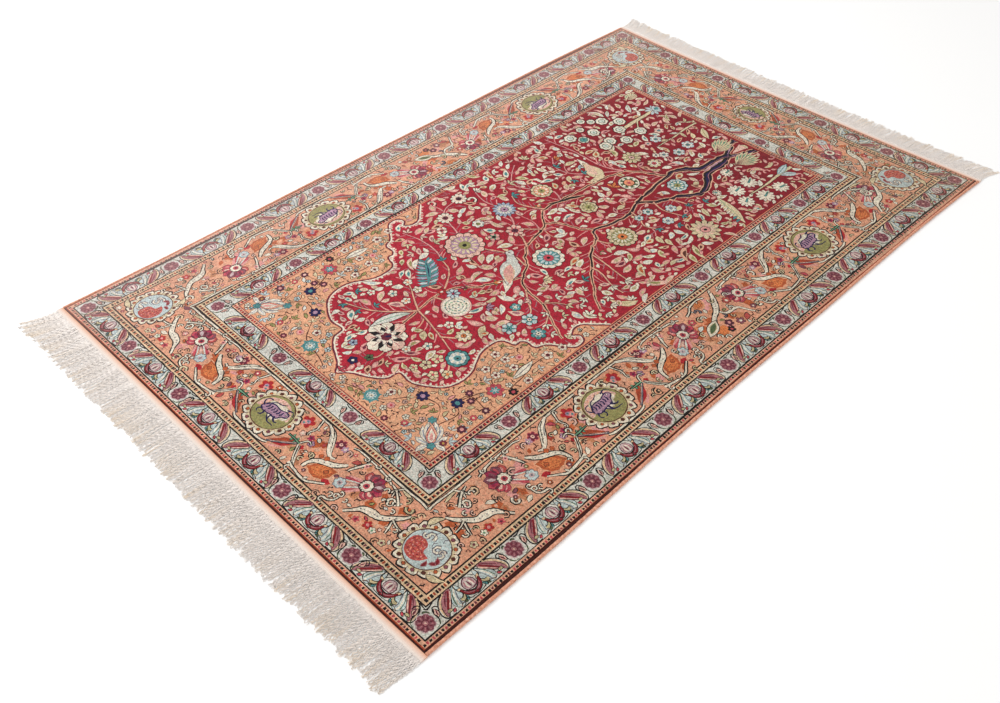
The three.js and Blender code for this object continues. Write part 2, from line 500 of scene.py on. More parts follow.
def narrow_half(pen, reach, near_fold=False):
    """Half a repeat, from the middle of a rosette at t = 0 to that of a palmette at t = reach.
    h runs from the outer line at 0 to the inner one at 34. Where a repeat is folded in two, the
    half next to the fold has no bud."""
    far = pen.at(reach - 80)
    wing = (61+33.4j, 50+24j, 43+13j, 46+5j, 54+1.5j, 59+8j, 64+18j, 66+27j)
    far.fill(smooth(wing, 5, True), "ice", "black", 0.6)
    far.line((63+32j, 54+22j, 49+9j, 51+2j), 1.8, "ivory")
    far.line((60+26j, 55+16j, 53+6j), 1.3, "grey")
    far.line((57+30j, 49+19j, 46+7j), 1.3, "moss")
    far.line((61+33j, 60+24j, 66+17j, 62+10j), 1.8, "black")
    far.line((48+2j, 56+6j, 62+3j), 1.3, "brown")
    blade = (47+33.4j, 38+28j, 30+19j, 26+8j, 27+3j, 33+8j, 41+14j, 49+23j, 55+33.4j)
    far.fill(smooth(blade, 5, True), "old rose", "black", 0.7)
    far.line((52+32j, 43+22j, 34+12j, 29+6j), (2.6, 3.6, 2.4, 1), "blood")
    far.line((54+30j, 46+21j, 37+12j), (1.6, 2, 1), "blush")
    far.line((50+33j, 41+26j, 33+17j), (2, 1.8, 1), "wine")
    far.line((44+33.4j, 35+28j, 28+20j, 24+9j, 26+2.5j), (1.8, 3, 3, 2, 1), "sand")
    far.line((42+33.5j, 33+29.4j, 25+21j, 21.6+10j, 25+1.6j, 38+0.9j), 1.8, "black")
    if not near_fold:
        pen.line((27+33j, 15+30j, 11.5+33.4j), 1.8, "black")
        pen.line((13+3j, 17.5+12j, 17+22j, 22+28j, 27+25j, 26+19j), 1.8, "black")
        bud_pen = pen.at(18.6+12.5j, 0.5+0.82j)
        bud_pen.fill(leaf(13, 6.4, 0.35), "blush", "black", 0.8)
        bud_pen.line((2, 6+0.8j, 11+2j), (1, 2.2, 1), "wine")
        pen.line((6+1.5j, 12+2.5j, 17+8j), 1.2, "moss")
        pen.at(11.5+27.5j, -0.7+0.7j).fill(leaf(5.5, 3, 0.3, 0.5, 3), "moss", "black", 0.6)
    for at, way, size, dye in (
        (38+8j, -0.9+0.4j, 8, "khaki"),
        (62+25j, 0.4-0.9j, 8, "sand"),
        (36+3.6j, 0.9+0.2j, 7, "rose"),
        (66+10j, -0.6-0.6j, 7, "teal"),
        (57+3.5j, 1+0.2j, 5, "moss"),
    ):
        far.at(at, way / abs(way)).fill(leaf(size, size * 0.5, 0.4, 0.5, 3), dye, "black", 0.6)


def palmette(pen):
    """A dome bud in a red crescent, centred at the pen and pointing along +y."""
    pen.line((-19-5j, -15-13j, -8-15.4j, 0-15.8j, 8-15.4j, 15-13j, 19-5j), 1.2, "black")
    for side in (1, -1):
        pen.line((side * 25 - 8j, side * 20 - 9j, side * 15 - 4j), (3, 4.5, 1.5), "khaki", "black", 0.8)
    arms = (-16+3j, -12-5j, -7-9j, 0-11j, 7-9j, 12-5j, 16+3j)
    pen.line(arms, (2, 5, 6, 6.5, 6, 5, 2), "blood", "black", 0.7)
    pen.line((-13-2j, -8-8j, 0-10.6j, 8-8j, 13-2j), (1, 2, 1.2, 2, 1), "old rose")
    pen.line((-4-13j, 0-9j, 4-13j), 1.4, "black")
    pen.line((-9.6-2j, -6-6.5j, 0-8.2j, 6-6.5j, 9.6-2j), 1.2, "black")
    dome = (-8.5+0j, -8+7j, -4+11.5j, 0+13j, 4+11.5j, 8+7j, 8.5+0j, 5-4j, -5-4j)
    pen.fill(smooth(dome, 5, True), "dusk", "plum", 0.9)
    for side in (1, -1):
        pen.line((side * 5.6 - 2j, side * 6.4 + 4j, side * 3.4 + 9.6j), (1.4, 2, 1), "old rose")
        pen.line((side * 2.8 - 3j, side * 3.6 + 4j, side * 1.6 + 9j), (1.2, 1.8, 1), "ivory")
    pen.fill(leaf(12, 3.0, 0, 0.4, 3) * 1j - 3j, "wine")
    pen.line((-13+9j, -6+17j, 0+17.6j, 6+17j, 13+9j), 1.1, "black")


NARROW_BANDS = (  # outer line, width against the outer band's, rosettes across, rosettes along
    (12, 1.0, (29, 170, 325, 595, 750, 891), (29, 191, 355, 523, 692, 848, 1009, 1170, 1326, 1451)),
    (173.5, 0.9, (189, 369, 551, 731), (189, 355, 520, 682, 845, 1009, 1159, 1291)),
)
FOLDED_GAP = 200
FOLDED_REACH = 75
for line, width, across, along in NARROW_BANDS:
    for number, (origin, turn, length) in enumerate(CORNERS):
        rosettes = (across, along)[number % 2]
        if number > 1:
            rosettes = [length - s for s in rosettes[::-1]]
        pen = sheet.at(origin, turn)
        for a, b in zip(rosettes[:-1], rosettes[1:]):
            folded = b - a > FOLDED_GAP
            reach = FOLDED_REACH * width if folded else (b - a) / 2
            for start, way in ((a, 1), (b, -1)):
                half = pen.at(start + line * 1j, way * width, way < 0)
                narrow_half(half, reach / width)
                if folded:
                    narrow_half(half.at(2 * reach / width, -1, True), reach / width, True)
                    palmette(half.at(reach / width + 18j))
            if not folded:
                palmette(pen.at(a + reach + (line + 18 * width) * 1j, width))
        for s in rosettes[:-1]:
            wine_rosette(pen.at(s + (line + 17 * width) * 1j, width))

# Wide band: its figures. On a melon ground, a round medallion stands at each corner, one in the
# middle of each end and two on each long side, with ivory cloud branches, palmettes, spears and
# mottled leaves between. t runs along the band from a medallion's middle, h from the outer line
# at 0 to the inner one at 100, and every figure has its mirror image on the other side.
WIDE_LOW = 60
WIDE_MIDDLE = 50


def curl(pen, size, dye="ivory", rim="black"):
    """A hooked tendril that starts at the pen and rolls up to its left."""
    turn = np.linspace(0, 4.4, 6)
    path = size * (0.55j + (0.62 - 0.09 * turn) * facing(turn - np.pi / 2))
    pen.line(path, (size * 0.28, size * 0.18, size * 0.34), dye, rim, 1.1, size * 0.5)


def curls(pen, places, dye="ivory", rim="black"):
    """Tendrils, each with its place, its way and its size."""
    for place, way, size in places:
        curl(pen.at(place, facing(way)), size, dye, rim)


def vine(pen, points, width, rim_width=1.0):
    """An ivory line with a black outline."""
    pen.line(points, width, "ivory", "black", rim_width)


def twig(pen, points, width, leaves=(), size=5.0, dye="ivory"):
    """A branch with small leaves on it: each leaf is a place from 0 to 1 along the branch, on
    its left if the value is positive and on its right if negative."""
    for place in leaves:
        path = smooth(points, 2.0)
        i = min(int(abs(place) * (len(path) - 1)), len(path) - 2)
        way = path[i + 1] - path[i]
        way = way / abs(way) * facing(0.9 * np.sign(place))
        pen.at(path[i], way).fill(leaf(size, size * 0.45, 0.3 * np.sign(place), 0.55, 3), dye, "black", 0.6)
    pen.line(points, width, dye, "black", 1.1)


def blossom(pen, radius, count, dye, heart, rim=None, dot=None, turn=0.3):
    """A small open flower: a ring of round petals and a heart."""
    pen.fill(scalloped(radius, count, 0.38, 4) * facing(turn), dye, rim, 0.7)
    pen.fill(disc(radius * 0.36, 7), heart)
    if dot:
        pen.fill(disc(radius * 0.15, 5), dot)


KNOT_GAP = 4.1


def mottled_leaf(pen, length, width, dye="rust", spots="brick"):
    """A broad soft leaf along x with a toothed edge and rows of darker knots."""
    body = leaf(length, width, 0.25, 0.52, 9)
    teeth = 1 + 0.05 * np.cos(np.pi * np.arange(len(body)))
    middle = body.mean()
    pen.fill(middle + (body - middle) * teeth, dye, "apricot", 1.2)
    pen.fill(middle + (body - middle) * 0.72, "orange")
    for row in range(-2, 3):
        span = 0.36 * length * (1 - 0.09 * row * row)
        for s in np.arange(-span, span, KNOT_GAP):
            spot = middle + s + (row * 0.15 * width + 0.9 * np.sin(s * 1.7)) * 1j
            pen.at(spot).fill(np.array((0, 2.3+0.4j, 2.1+1.7j, 0.2+1.4j)), spots)


def cloud_trunk(pen, points, width, spots=5):
    """A thick ivory branch with a black outline and grey knots along its middle."""
    pen.line(points, width, "ivory", "black", 1.2, 5)
    path = smooth(points, 2.0)
    for i in np.linspace(len(path) * 0.25, len(path) * 0.75, spots).astype(int):
        pen.at(path[i] - 0.8 - 0.8j).fill(np.array((0, 2.2, 2.4+1.8j, 0.3+2j)), "grey")


def wide_palmette(pen):
    """A large flower along x: a rose fan round a cream diamond, with a striped pink tail."""
    for way, reach, dye, core in (
        (1.5, 26, "tomato", "pink"), (-1.5, 25, "rose", "pink"), (1.0, 27, "mauve", "rose"),
        (-1.05, 26, "rose", "blush"), (0.5, 29, "magenta", "mauve"), (-0.5, 29, "rose", "magenta"),
        (0, 30, "mauve", "dusk"),
    ):
        side = pen.to(0, 0, way)
        side.fill(leaf(reach, 15, 0, 0.66, 5), dye, "plum", 0.7)
        side.fill(reach * 0.35 + leaf(reach * 0.5, 6.5, 0, 0.6, 3), core)
    for way, dye in ((0.28, "wine"), (-0.28, "blood"), (0.8, "wine"), (-0.8, "wine")):
        pen.at(13 * facing(way), facing(way)).fill(leaf(11, 3.6, 0, 0.6, 3), dye)
    for side in (1, -1):
        pen.line((-4 + side * 4j, -18 + side * 9j, -34 + side * 11j), (8, 7, 3), "rose", "brown", 0.6)
        pen.line((-6 + side * 7j, -20 + side * 12j, -31 + side * 16j), (5, 4, 2), "pink")
        pen.line((-8 + side * 3j, -20 + side * 5j, -38 + side * 8j), (3, 3, 1.5), "sage")
    pen.line((-6, -20, -40), (7, 6, 4), "mauve")
    pen.line((-14, -26, -44), (3.5, 4.5, 3), "blush")
    pen.fill(scalloped(10.5, 9, 0.15, 4), "ivory", "black", 1.0)
    for k in range(5):
        pen.to(0, 0, 2.2 + 0.47 * k).fill((8.2-0.8j, 11-0.9j, 11+0.9j, 8.2+0.8j), "black")
    pen.fill(disc(5.4, 8), "rose")
    pen.fill(disc(2.8, 6), "plum")
    tail = pen.at(-40)
    tail.fill(scalloped(9.5, 7, 0.2, 4), "ice", "grey", 0.9)
    tail.fill(disc(4.4), "dusk")
    tail.fill(disc(2), "grey")


def speckled(pen, outline, dye, marks, spacing=4.6):
    """A patch of colour with small marks on it, as its knots change dye here and there."""
    pen.fill(outline, dye)
    low, high = outline.real.min(), outline.real.max()
    rows = np.arange(outline.imag.min(), outline.imag.max(), spacing * 0.8)
    spots = [np.arange(low + 3 * (k % 2), high, spacing) + 1j * row for k, row in enumerate(rows)]
    spots = np.concatenate(spots)
    spots = spots + 1.2 * np.sin(7 * spots.imag) + 0.9j * np.sin(5 * spots.real)
    clear = 1.6 * facing(0.5 * np.pi * np.arange(4))
    inside = np.all([in_outline(spots + c, outline) for c in clear], axis=0)
    mark = (-1.5-0.5j, 1.3-0.8j, 1.6+0.5j, -1.2+0.8j)
    for k, spot in enumerate(spots[inside]):
        pen.at(spot, facing(1.3 * k)).fill(mark, marks[k % len(marks)])


def medallion(pen, across, along, lobes, ground, part, part_dye, marks):
    """A round picture frame: a rim of cloud lobes with a dot in each, and two fields of colour
    inside. Its half sizes are given across and along the band, the pen's y and x axes."""

    def oval(z):
        return z.real * along + 1j * z.imag * across

    rim = scalloped(1, lobes, 0.13, 6)
    rim = oval(rim * (1 + 0.03 * np.sin(5 * np.arange(len(rim)))))
    pen.fill(rim, "ivory", "black", 1.5)
    pen.fill(0.9 * rim, "cream")
    for k in range(lobes):
        way = facing(2 * np.pi * (k + 0.02) / lobes)
        spot = 0.84 * oval(way)
        pen.at(spot).fill(disc(2.6, 6), ("rust", "mauve", "brown")[k % 3], "brown", 0.6)
        pen.line(np.array((0.93, 0.8)) * oval(way * facing(np.pi / lobes)), 1.1, "brown")
    pen.fill(0.72 * oval(disc(1, 28)), ground, "brown", 1.1)
    speckled(pen, smooth(part, 6, True), part_dye, marks)


def beast(pen, dye, pale):
    """A running striped animal of the hunting carpets, about 44 by 26 mm, facing along x."""
    body = (-20-4j, -16+5j, -6+8j, 5+7j, 13+10j, 20+10j, 22+5j, 15+1j, 12-5j, 0-6j, -12-8j)
    pen.fill(smooth(body, 4, True), pale, dye, 1.3)
    for x, y, reach in ((-14, -2, 8), (-9, -3, 9), (-4, -2, 8), (1, -2, 8), (6, -1, 8), (11, 0, 8)):
        pen.line((x + 1j * y, x + 2 + 1j * (y + reach * 0.5), x + 1 + 1j * (y + reach)), 2.6, dye)
    for path in (
        (-18+2j, -10+13j, 0+15j, 6+20j), (12+14j, 22+17j, 27+11j), (-4-7j, 6-16j, 20-17j),
    ):
        pen.line(path, (2.4, 1.6), dye, step=5)
    for leg in (
        (-16-6j, -21-12j, -17-16j), (-10-7j, -8-14j, -13-17j), (8-5j, 14-11j, 20-10j), (3-5j, 4-13j, 9-17j),
    ):
        pen.line(leg, (4, 2.6, 2), dye)
    pen.line((-19-2j, -25+5j, -22+12j, -16+12j), (2.4, 1.8, 2.4), dye)
    pen.line((14+10j, 16+15j, 12+17j), 2, dye)
    pen.fill(disc(1.3, 5) + 18 + 8j, "ivory", dye, 0.6)


def wide_half(pen):
    """One side of a medallion, from its middle at t = 0 to beyond the palmette at t = 214."""
    mottled_leaf(pen.to(122, 22, 0.28), 48, 31)
    pen.fill(leaf(17, 11, 0.2) + 157 + 22j, "red")
    for t, h, radius, count, dye, heart, rim, dot in (
        (54, 77, 12.5, 5, "red", "lilac", "orange", "teal"), (50, 72, 6, 4, "pink", "teal", None, None),
        (126, 84, 9, 6, "wine", "blush", "rose", "plum"), (138, 82, 6.5, 5, "lilac", "ivory", None, "grey"),
        (93, 53, 6, 5, "lilac", "ivory", "wine", "plum"), (84, 60, 6.5, 5, "magenta", "plum", None, None),
        (109, 65, 7, 5, "brick", "rose", None, None),
    ):
        blossom(pen.to(t, h), radius, count, dye, heart, rim, dot)
    pen.to(92, 68, -0.5).fill(leaf(10, 5.5), "ivory", "black", 0.9)
    for side, dye in ((5.2, "brick"), (-5.2, "red")):
        pen.line((74 + 37j + side * 0.5j, 60 + 26j + side * 1.2j, 42 + 13j + side * 0.3j), (3, 8, 2), dye)
    pen.line((60+14j, 50+7j, 66+17j), (2, 5, 2), "pink")
    pen.line((79+40j, 60+24j, 39+9j), (3, 2.2, 2.8), "grey", "black", 0.7)
    pen.line((77+39j, 60+25j, 42+12j), 0.9, "blush")
    twig(pen, (80+41j, 68+41.5j, 53+42j), (2.6, 2, 1), (0.3, -0.35, 0.6, -0.65), 7, "green")
    pen.to(88, 38).fill(scalloped(5, 4, 0.3, 4), "red")
    twig(pen, (80+42j, 83+50j, 88+54j, 95+51j), (2, 1.4))
    for shift in (0, 4.2):
        vine(pen, (80 + shift + 39j, 87 + shift + 28j, 97 + shift + 15j, 108+8j), 1.5, 0.7)
    vine(pen, (97+8j, 108+6j, 126+3.4j, 143+3.4j, 155+11j, 168+20j), (5, 3, 3.4, 3.4, 3, 2))
    curl(pen.at(104+4.5j, -1), 9)
    pen.at(137+4j, 0.5+0.8j).fill(leaf(8, 4), "ivory", "black", 0.7)
    curls(pen, ((113+34j, 0.6, 11), (106+27j, 2.6, 8), (110+41j, 4.0, 7), (73+7j, 1.2, 7)), "cream")
    vine(pen, (-2+3j, 14+2.6j, 34+4j, 43+8j), (3, 2.4, 3.4, 2))
    vine(pen, (16+97j, 50+97.4j, 86+96.5j), 2.6)
    twig(pen, (69+96j, 73+85j, 76+75j, 72+65j, 75+59j), (2.4, 2, 1.4), (0.4, -0.5, 0.7), 6)
    vine(pen, (84+97j, 102+88j, 113+76j, 124+63j, 133+57j, 142+60j), (3, 9, 10, 7, 4, 2), 0.9)
    pen.line((94+95j, 105+88j, 116+75j, 125+64j), 1.2, "black")
    pen.line((92+90j, 103+83j, 112+72j), 1.2, "grey")
    for t, h in ((100, 91), (107, 84), (112, 77), (118, 70)):
        pen.line((t + 1j * h, t + 4 + 1j * (h - 2)), 1.1, "black")
    cloud_trunk(pen, (117+17j, 118+29j, 124+38j, 134+44j, 148+50j, 158+58j, 165+66j), (4, 5, 6, 8, 8, 6, 3))
    for t, h, size in ((133, 52, 4.5), (123, 49, 4), (152, 35, 4)):
        pen.to(t, h).fill(scalloped(size, 4, 0.3, 4), "rust", "brown", 0.5)
    curl(pen.to(152, 78, 0.9), 10, "blush")
    vine(pen, (145+93j, 158+96.5j, 194+95j, 221+92j, 238+87j), (1.6, 2.4, 2.6, 2.2))
    curls(pen, ((173+93j, -1.3, 8), (196+94j, -0.8, 8), (222+91j, -1.4, 9), (183+92j, -2.2, 7)))
    twig(pen, (186+91j, 180+79j, 175+68j, 172+58j), (3, 3.4, 2), (0.3, -0.5), 6)
    pen.line((168+57j, 175+60j, 181+58j), 1.4, "black")
    wide_palmette(pen.to(214, 60, 0.62))
    vine(pen, (182+5j, 191+4.6j, 200+11j, 201+23j), (3.4, 2.8, 2))
    curls(pen, ((189+10j, 0.4, 9), (200+21j, 0.2, 9), (200+21j, 2.4, 9), (186+4j, 3.0, 9)))
    blossom(pen.to(186, 84), 4.5, 5, "pink", "wine")
    blossom(pen.to(158, 86), 4, 5, "rose", "cream")


def wide_corner(pen):
    """Half of a corner, from the palmette to the diagonal. The pen's origin is the rug's own
    corner, its x axis runs out along the side and its y axis inwards."""
    cloud_trunk(pen, (236+68j, 226+80j, 218+90j, 203+95j, 191+97j, 178+108j, 168+119j, 162+130j),
                (3, 4, 9, 12, 8, 7, 5, 2), 8)
    twig(pen, (176+108j, 167+104j, 154+102j), (2.8, 1.6), (0.5,), 6)
    twig(pen, (174+104j, 170+94j, 167+84j), (2.4, 1.4), (0.5, -0.6), 6)
    vine(pen, (240+157j, 200+156j, 170+156.5j, 155+155j), 3)
    for way in (0.3, 2.1, 3.3, -1.2, 4.4):
        vine(pen, (210+145j, 210 + 145j + 12 * facing(way)), (3.4, 1.2))
    twig(pen, (210+145j, 198+137j, 188+128j), (2.6, 3.4), (0.7, -0.8, 0.9), 7)
    curls(pen, ((203+122j, 0.6, 12), (198+128j, 3.6, 10), (190+118j, 2.2, 8), (222+133j, 1.0, 9)))
    pen.line((180+148j, 192+151j, 204+152j), (2, 5, 1.5), "cream", "black", 0.8)
    for x, y, radius, dye, heart, rim, dot in (
        (158, 71, 6, "cream", "wine", "brown", "plum"), (193, 77, 7, "red", "pink", "rust", None),
        (182, 75, 5.5, "ivory", "green", "black", None), (212, 72, 6, "rose", "wine", None, None),
    ):
        blossom(pen.to(x, y), radius, 5, dye, heart, rim, dot)
    for x, y, way in ((150, 90, 1), (172, 66, 2), (145, 66, 0.4), (220, 68, 2.5), (160, 141, 4),
                      (200, 110, 5)):
        curl(pen.to(x, y, way), 6, "brown", None)


WIDE_START = len(drawing)
END_STOPS = (460,)
SIDE_STOPS = (484, 1067)
FAR_END, LEFT_SIDE = 2, 3
for number, (origin, turn, length) in enumerate(CORNERS):
    pen = sheet.at(origin, turn)
    stops = SIDE_STOPS if number % 2 else END_STOPS
    if number == LEFT_SIDE:
        stops = [length - s for s in stops]
    for middle in stops:
        for way in (1, -1):
            wide_half(pen.at(middle + WIDE_LOW * 1j, way, way < 0))
    for at, way in ((0, 1), (length, -1)):
        wide_corner(pen.at(at, way, way < 0))
    for middle in stops:
        face = pen.at(middle + (WIDE_LOW + WIDE_MIDDLE) * 1j)
        if number == FAR_END:
            face = pen.at(middle - 10 + 103j, 0.82)
        part = (-34-6j, -30+14j, -14+26j, 6+28j, 24+18j, 32+2j, 14+4j, 0-2j, -14+0j)
        medallion(face, 46, 50, 15, "olive", part, "blush", ("pink", "salmon"))
        face.fill(scalloped(17, 5, 0.25, 4, 1.5) + 2 + 5j, "ivory", "khaki", 0.8)
        beast(face.at(-1+2j, 1.15), "indigo", "lilac")
    corner = pen.at(108+109j, (-1, 1)[number % 2] * facing(-0.25 * np.pi))
    part = (-31+1j, -26+15j, -14+23j, -3+17j, 1+6j, -5-5j, 1-15j, -12-19j, -25-13j)
    medallion(corner, 45, 45, 15, "ice", part, "tomato", ("pink", "blood", "salmon"))
    tendrils = ((8+14j, 0.4, 13), (18+2j, 2.4, 12), (14-14j, -0.6, 11), (-2+26j, 3.4, 9), (24-8j, 1.2, 8))
    curls(corner, tendrils, rim="grey")
    for at, way in ((-8-27j, 0.3), (3-23j, -0.4), (12-25j, 0.9)):
        corner.at(at, facing(way)).fill(leaf(11, 4.4, 0.5, 0.5, 3), "blood", "old rose", 0.8)
    for at in (10+20j, 21+9j, 17-8j, 6+4j):
        corner.line((at, at + 3 + 5j, at + 8 + 6j), 1.3, "grey")
    for side in (1, -1):
        wing = corner.at(side * 40j, facing(0.9 * side))
        wing.fill(leaf(26, 9, -side * 0.5, 0.4), "cream", "black", 1.0)

# Wide band: in the middle of each long side a branch climbs across the band between the two
# palmettes. It opens at its foot into an ivory leaf with an olive heart.
for origin, flip in ((PILE_WIDTH, False), (0, True)):
    pen = sheet.at(origin, 1j, flip).at(WIDE_LOW * 1j)
    mottled_leaf(pen.to(762, 84, 0.1), 30, 20, "tan", "brown")
    for t, h, size, dye in (
        (754, 21, 11, "orange"), (757, 49, 10, "rust"), (744, 60, 9, "salmon"), (806, 24, 9, "tan"),
    ):
        pen.to(t, h, 0.3 * size).fill(scalloped(size, 5, 0.3, 3, 1.4), dye)
    trunk = (818+92j, 810+81j, 799+69j, 787+58j, 769+49j, 758+40j)
    vine(pen, (787+58j, 794+44j, 809+41j, 821+39j, 828+25j, 837+8j), (3, 4, 5, 4, 3, 2), 0.9)
    cloud_trunk(pen, trunk, (4, 7, 10, 8, 6, 8), 8)
    heart = pen.to(766, 44, np.pi + 0.42)
    heart.fill(leaf(44, 19, 0, 0.5), "ivory", "black", 0.9)
    heart.fill(6 + leaf(30, 9, 0, 0.5), "moss", "khaki", 0.8)
    twig(pen, (799+93j, 784+97j, 763+94j, 751+86j, 739+82j), (3, 2.4, 3), (0.3, -0.5, 0.7), 7)
    for t, h, r, dye, core in (
        (778, 26, 8, "plum", "pink"), (768, 14, 7, "black", "rose"), (796, 16, 8, "mauve", "ivory"),
        (822, 62, 8, "tomato", "ivory"), (733, 68, 7, "rose", "cream"),
    ):
        blossom(pen.to(t, h), r, 5, dye, core, "brown")
    pen.to(806, 10, 0.5).fill(leaf(18, 9, 0.2), "tomato", "black", 0.8)
    for t, h, way, size in (
        (763, 72, 0.4, 11), (752, 66, 2.4, 10), (800, 84, 3.6, 10), (816, 44, 1.2, 9), (836, 70, 0.9, 9),
        (726, 40, 2.2, 10), (740, 12, 0.3, 9), (784, 40, 5.2, 8),
    ):
        curl(pen.to(t, h, way), size, ("ivory", "cream", "grey")[size % 3])

# Wide band: the ground between. Small hooks, buds and flowers with dark outlines are scattered
# wherever the melon is still bare. Soft patches of rust, tan and pink lie under all the figures.
rng = np.random.default_rng(3)
melon = Ground(0j, PILE_WIDTH + PILE_LENGTH * 1j, ("melon",))
HOOK_DYES = ("ivory", "cream", "ivory", "blush", "khaki", "ivory", "sand", "apricot", "peach")
BUD_DYES = ("rose", "tomato", "blush", "mauve", "ivory", "sage", "rust", "pink", "olive", "ivory")
PATCH_DYES = ("rust", "salmon", "peach", "tan", "apricot", "pink", "rust", "tan")
PATCH_GAP = 21
PATCHED_HALF = 35
patches = []
for spot in melon.seeds(PATCH_GAP, rng):
    pen = Pen(patches, spot, facing(2 * np.pi * rng.random()))
    shape = scalloped(rng.uniform(5, 10), 5, 0.3, 2, 1.5)
    inset = min(spot.real, spot.imag, PILE_WIDTH - spot.real, PILE_LENGTH - spot.imag)
    if abs(inset - WIDE_LOW - WIDE_MIDDLE) < PATCHED_HALF:
        pen.fill(shape, PATCH_DYES[rng.integers(len(PATCH_DYES))])
for size, spacing in ((15, 11), (11, 9), (8, 7)):
    for spot in melon.seeds(spacing, rng):
        pen = sheet.at(spot, facing(2 * np.pi * rng.random()))
        if not melon.take(pen, size, size * 0.62, 0.5, 0.8):
            continue
        kind = rng.random()
        if kind < 0.36:
            curl(pen, size * 0.85, HOOK_DYES[rng.integers(len(HOOK_DYES))], "black")
        elif kind < 0.56:
            stem = size * np.array((0, 0.4+0.3j, 0.75, 1+0.2j))
            pen.line(stem, 2.1, ("black", "brown")[rng.integers(2)], step=4)
            pen.line(size * np.array((0.4+0.25j, 0.3+0.5j)), 1.6, "brown", step=4)
        elif kind < 0.66:
            blossom(pen.at(size * 0.45), size * 0.36, 5, BUD_DYES[rng.integers(len(BUD_DYES))], "ivory",
                    "brown")
        elif kind < 0.85:
            shape = leaf(size, size * 0.5, rng.uniform(-0.6, 0.6), 0.5, 3)
            pen.fill(shape, BUD_DYES[rng.integers(len(BUD_DYES))], "black", 0.7)
        else:
            pen.fill(leaf(size, size * 0.6, 0, 0.5, 3), ("peach", "apricot", "rust")[rng.integers(3)])
drawing[WIDE_START:WIDE_START] = patches

# Field: the prayer arch. The field is crimson above the arch and apricot in the spandrels below it.
# Towards the far end the crimson is painted deeper in three steps, as painted shade where the pile
# is seen against its lie. The arch is a wine line with a salmon rim, and an ivory one set with small
# scallops. Its right half is given from the point up to the field's side, and the left half is its mirror
# image.
FIELD_LOW = 218
FIELD_HIGH = (PILE_WIDTH - FIELD_LOW) + (PILE_LENGTH - FIELD_LOW) * 1j
CENTRE = 460
ARCH = (
    0+235j, 17+252j, 46+267j, 66+284j, 72+307j, 102+306j, 128+319j, 149+338j, 157+364j, 154+390j, 143+410j,
    133+431j, 131+454j, 134+471j, 143+480j, 160+485j, 161+496j, 171+504j, 189+505j, 199+523j, 224+540j,
    237+554j, 235+571j, 224+575j, 214+566j, 204+580j, 206+598j, 220+613j, 242+634j,
)
arch = smooth(ARCH, 6)
edge = np.concatenate((-np.conj(arch[:0:-1]), arch)) + CENTRE
SPANDREL_HIGH = FIELD_HIGH.real + 636j
FIELD_FAR_LEFT = FIELD_LOW + FIELD_HIGH.imag * 1j
sheet.fill((
    FIELD_LOW * (1+1j), FIELD_HIGH.real + FIELD_LOW * 1j,
    SPANDREL_HIGH, FIELD_LOW + SPANDREL_HIGH.imag * 1j,
), "apricot")
sheet.fill(np.concatenate((edge, (FIELD_HIGH, FIELD_FAR_LEFT))), "crimson")
# Painted shade: the crimson is laid deeper in three steps towards the far end.
for low, dye in ((660, "crimson 2"), (850, "crimson 3"), (1040, "crimson 4")):
    sheet.fill((FIELD_LOW + low * 1j, FIELD_HIGH.real + low * 1j, FIELD_HIGH, FIELD_FAR_LEFT), dye)
out = np.gradient(edge)
out *= -1j / np.abs(out)
sheet.line(edge + 2.2 * out, 3.2, "wine", "salmon", 0.8, 4)
sheet.line(edge - 0.9 * out, 3.0, "ivory", step=4)
for i in range(1, len(edge) - 1):
    scallop = sheet.at(edge[i] - 1.6 * out[i], -out[i] * facing(0.5 * np.sin(1.3 * i)))
    scallop.fill(leaf(5.6 + np.sin(2.1 * i), 4.6, 0, 0.4, 2), ("ivory", "blush", "pink")[i % 3])
FIELD_START = len(drawing)


# Field: the figures that come back all over it. Each flower, leaf or bird is a few outlined
# patches of dye, with its foot or its heart at the pen.
def bloom(pen, radius, count, outer, inner, eye, rim="black", turn=0.2):
    """An open flower: a ring of outlined petals, a ring of smaller ones and an eye."""
    petals(pen, radius, count, outer, rim, 0.25, 1.0, turn, 0.66, 0.7)
    petals(pen, radius * 0.66, count, inner, None, 0.3, 0.8, turn + np.pi / count, 0.6)
    pen.fill(disc(radius * 0.3), eye, rim, 0.6)
    pen.fill(disc(radius * 0.12, 6), rim)


def wheel(pen, radius, lobes, outer, ring, inner, eye, rim="black"):
    """A round flower: a scalloped rim, a darker ring, a pale disc and an eye."""
    pen.fill(scalloped(radius, lobes, 0.16), outer, rim, 1.0)
    for k in range(lobes):
        way = facing(2 * np.pi * (k + 0.5) / lobes)
        pen.line(np.array((0.68, 0.9)) * radius * way, 1.1, rim, step=9)
    pen.fill(scalloped(radius * 0.72, lobes, 0.1, 4), ring, rim, 0.4)
    petals(pen, radius * 0.7, lobes, inner, None, 0.3, 0.75, 0, 0.6)
    pen.fill(disc(radius * 0.32), eye, ring, 0.8)
    pen.fill(disc(radius * 0.12, 6), "black")


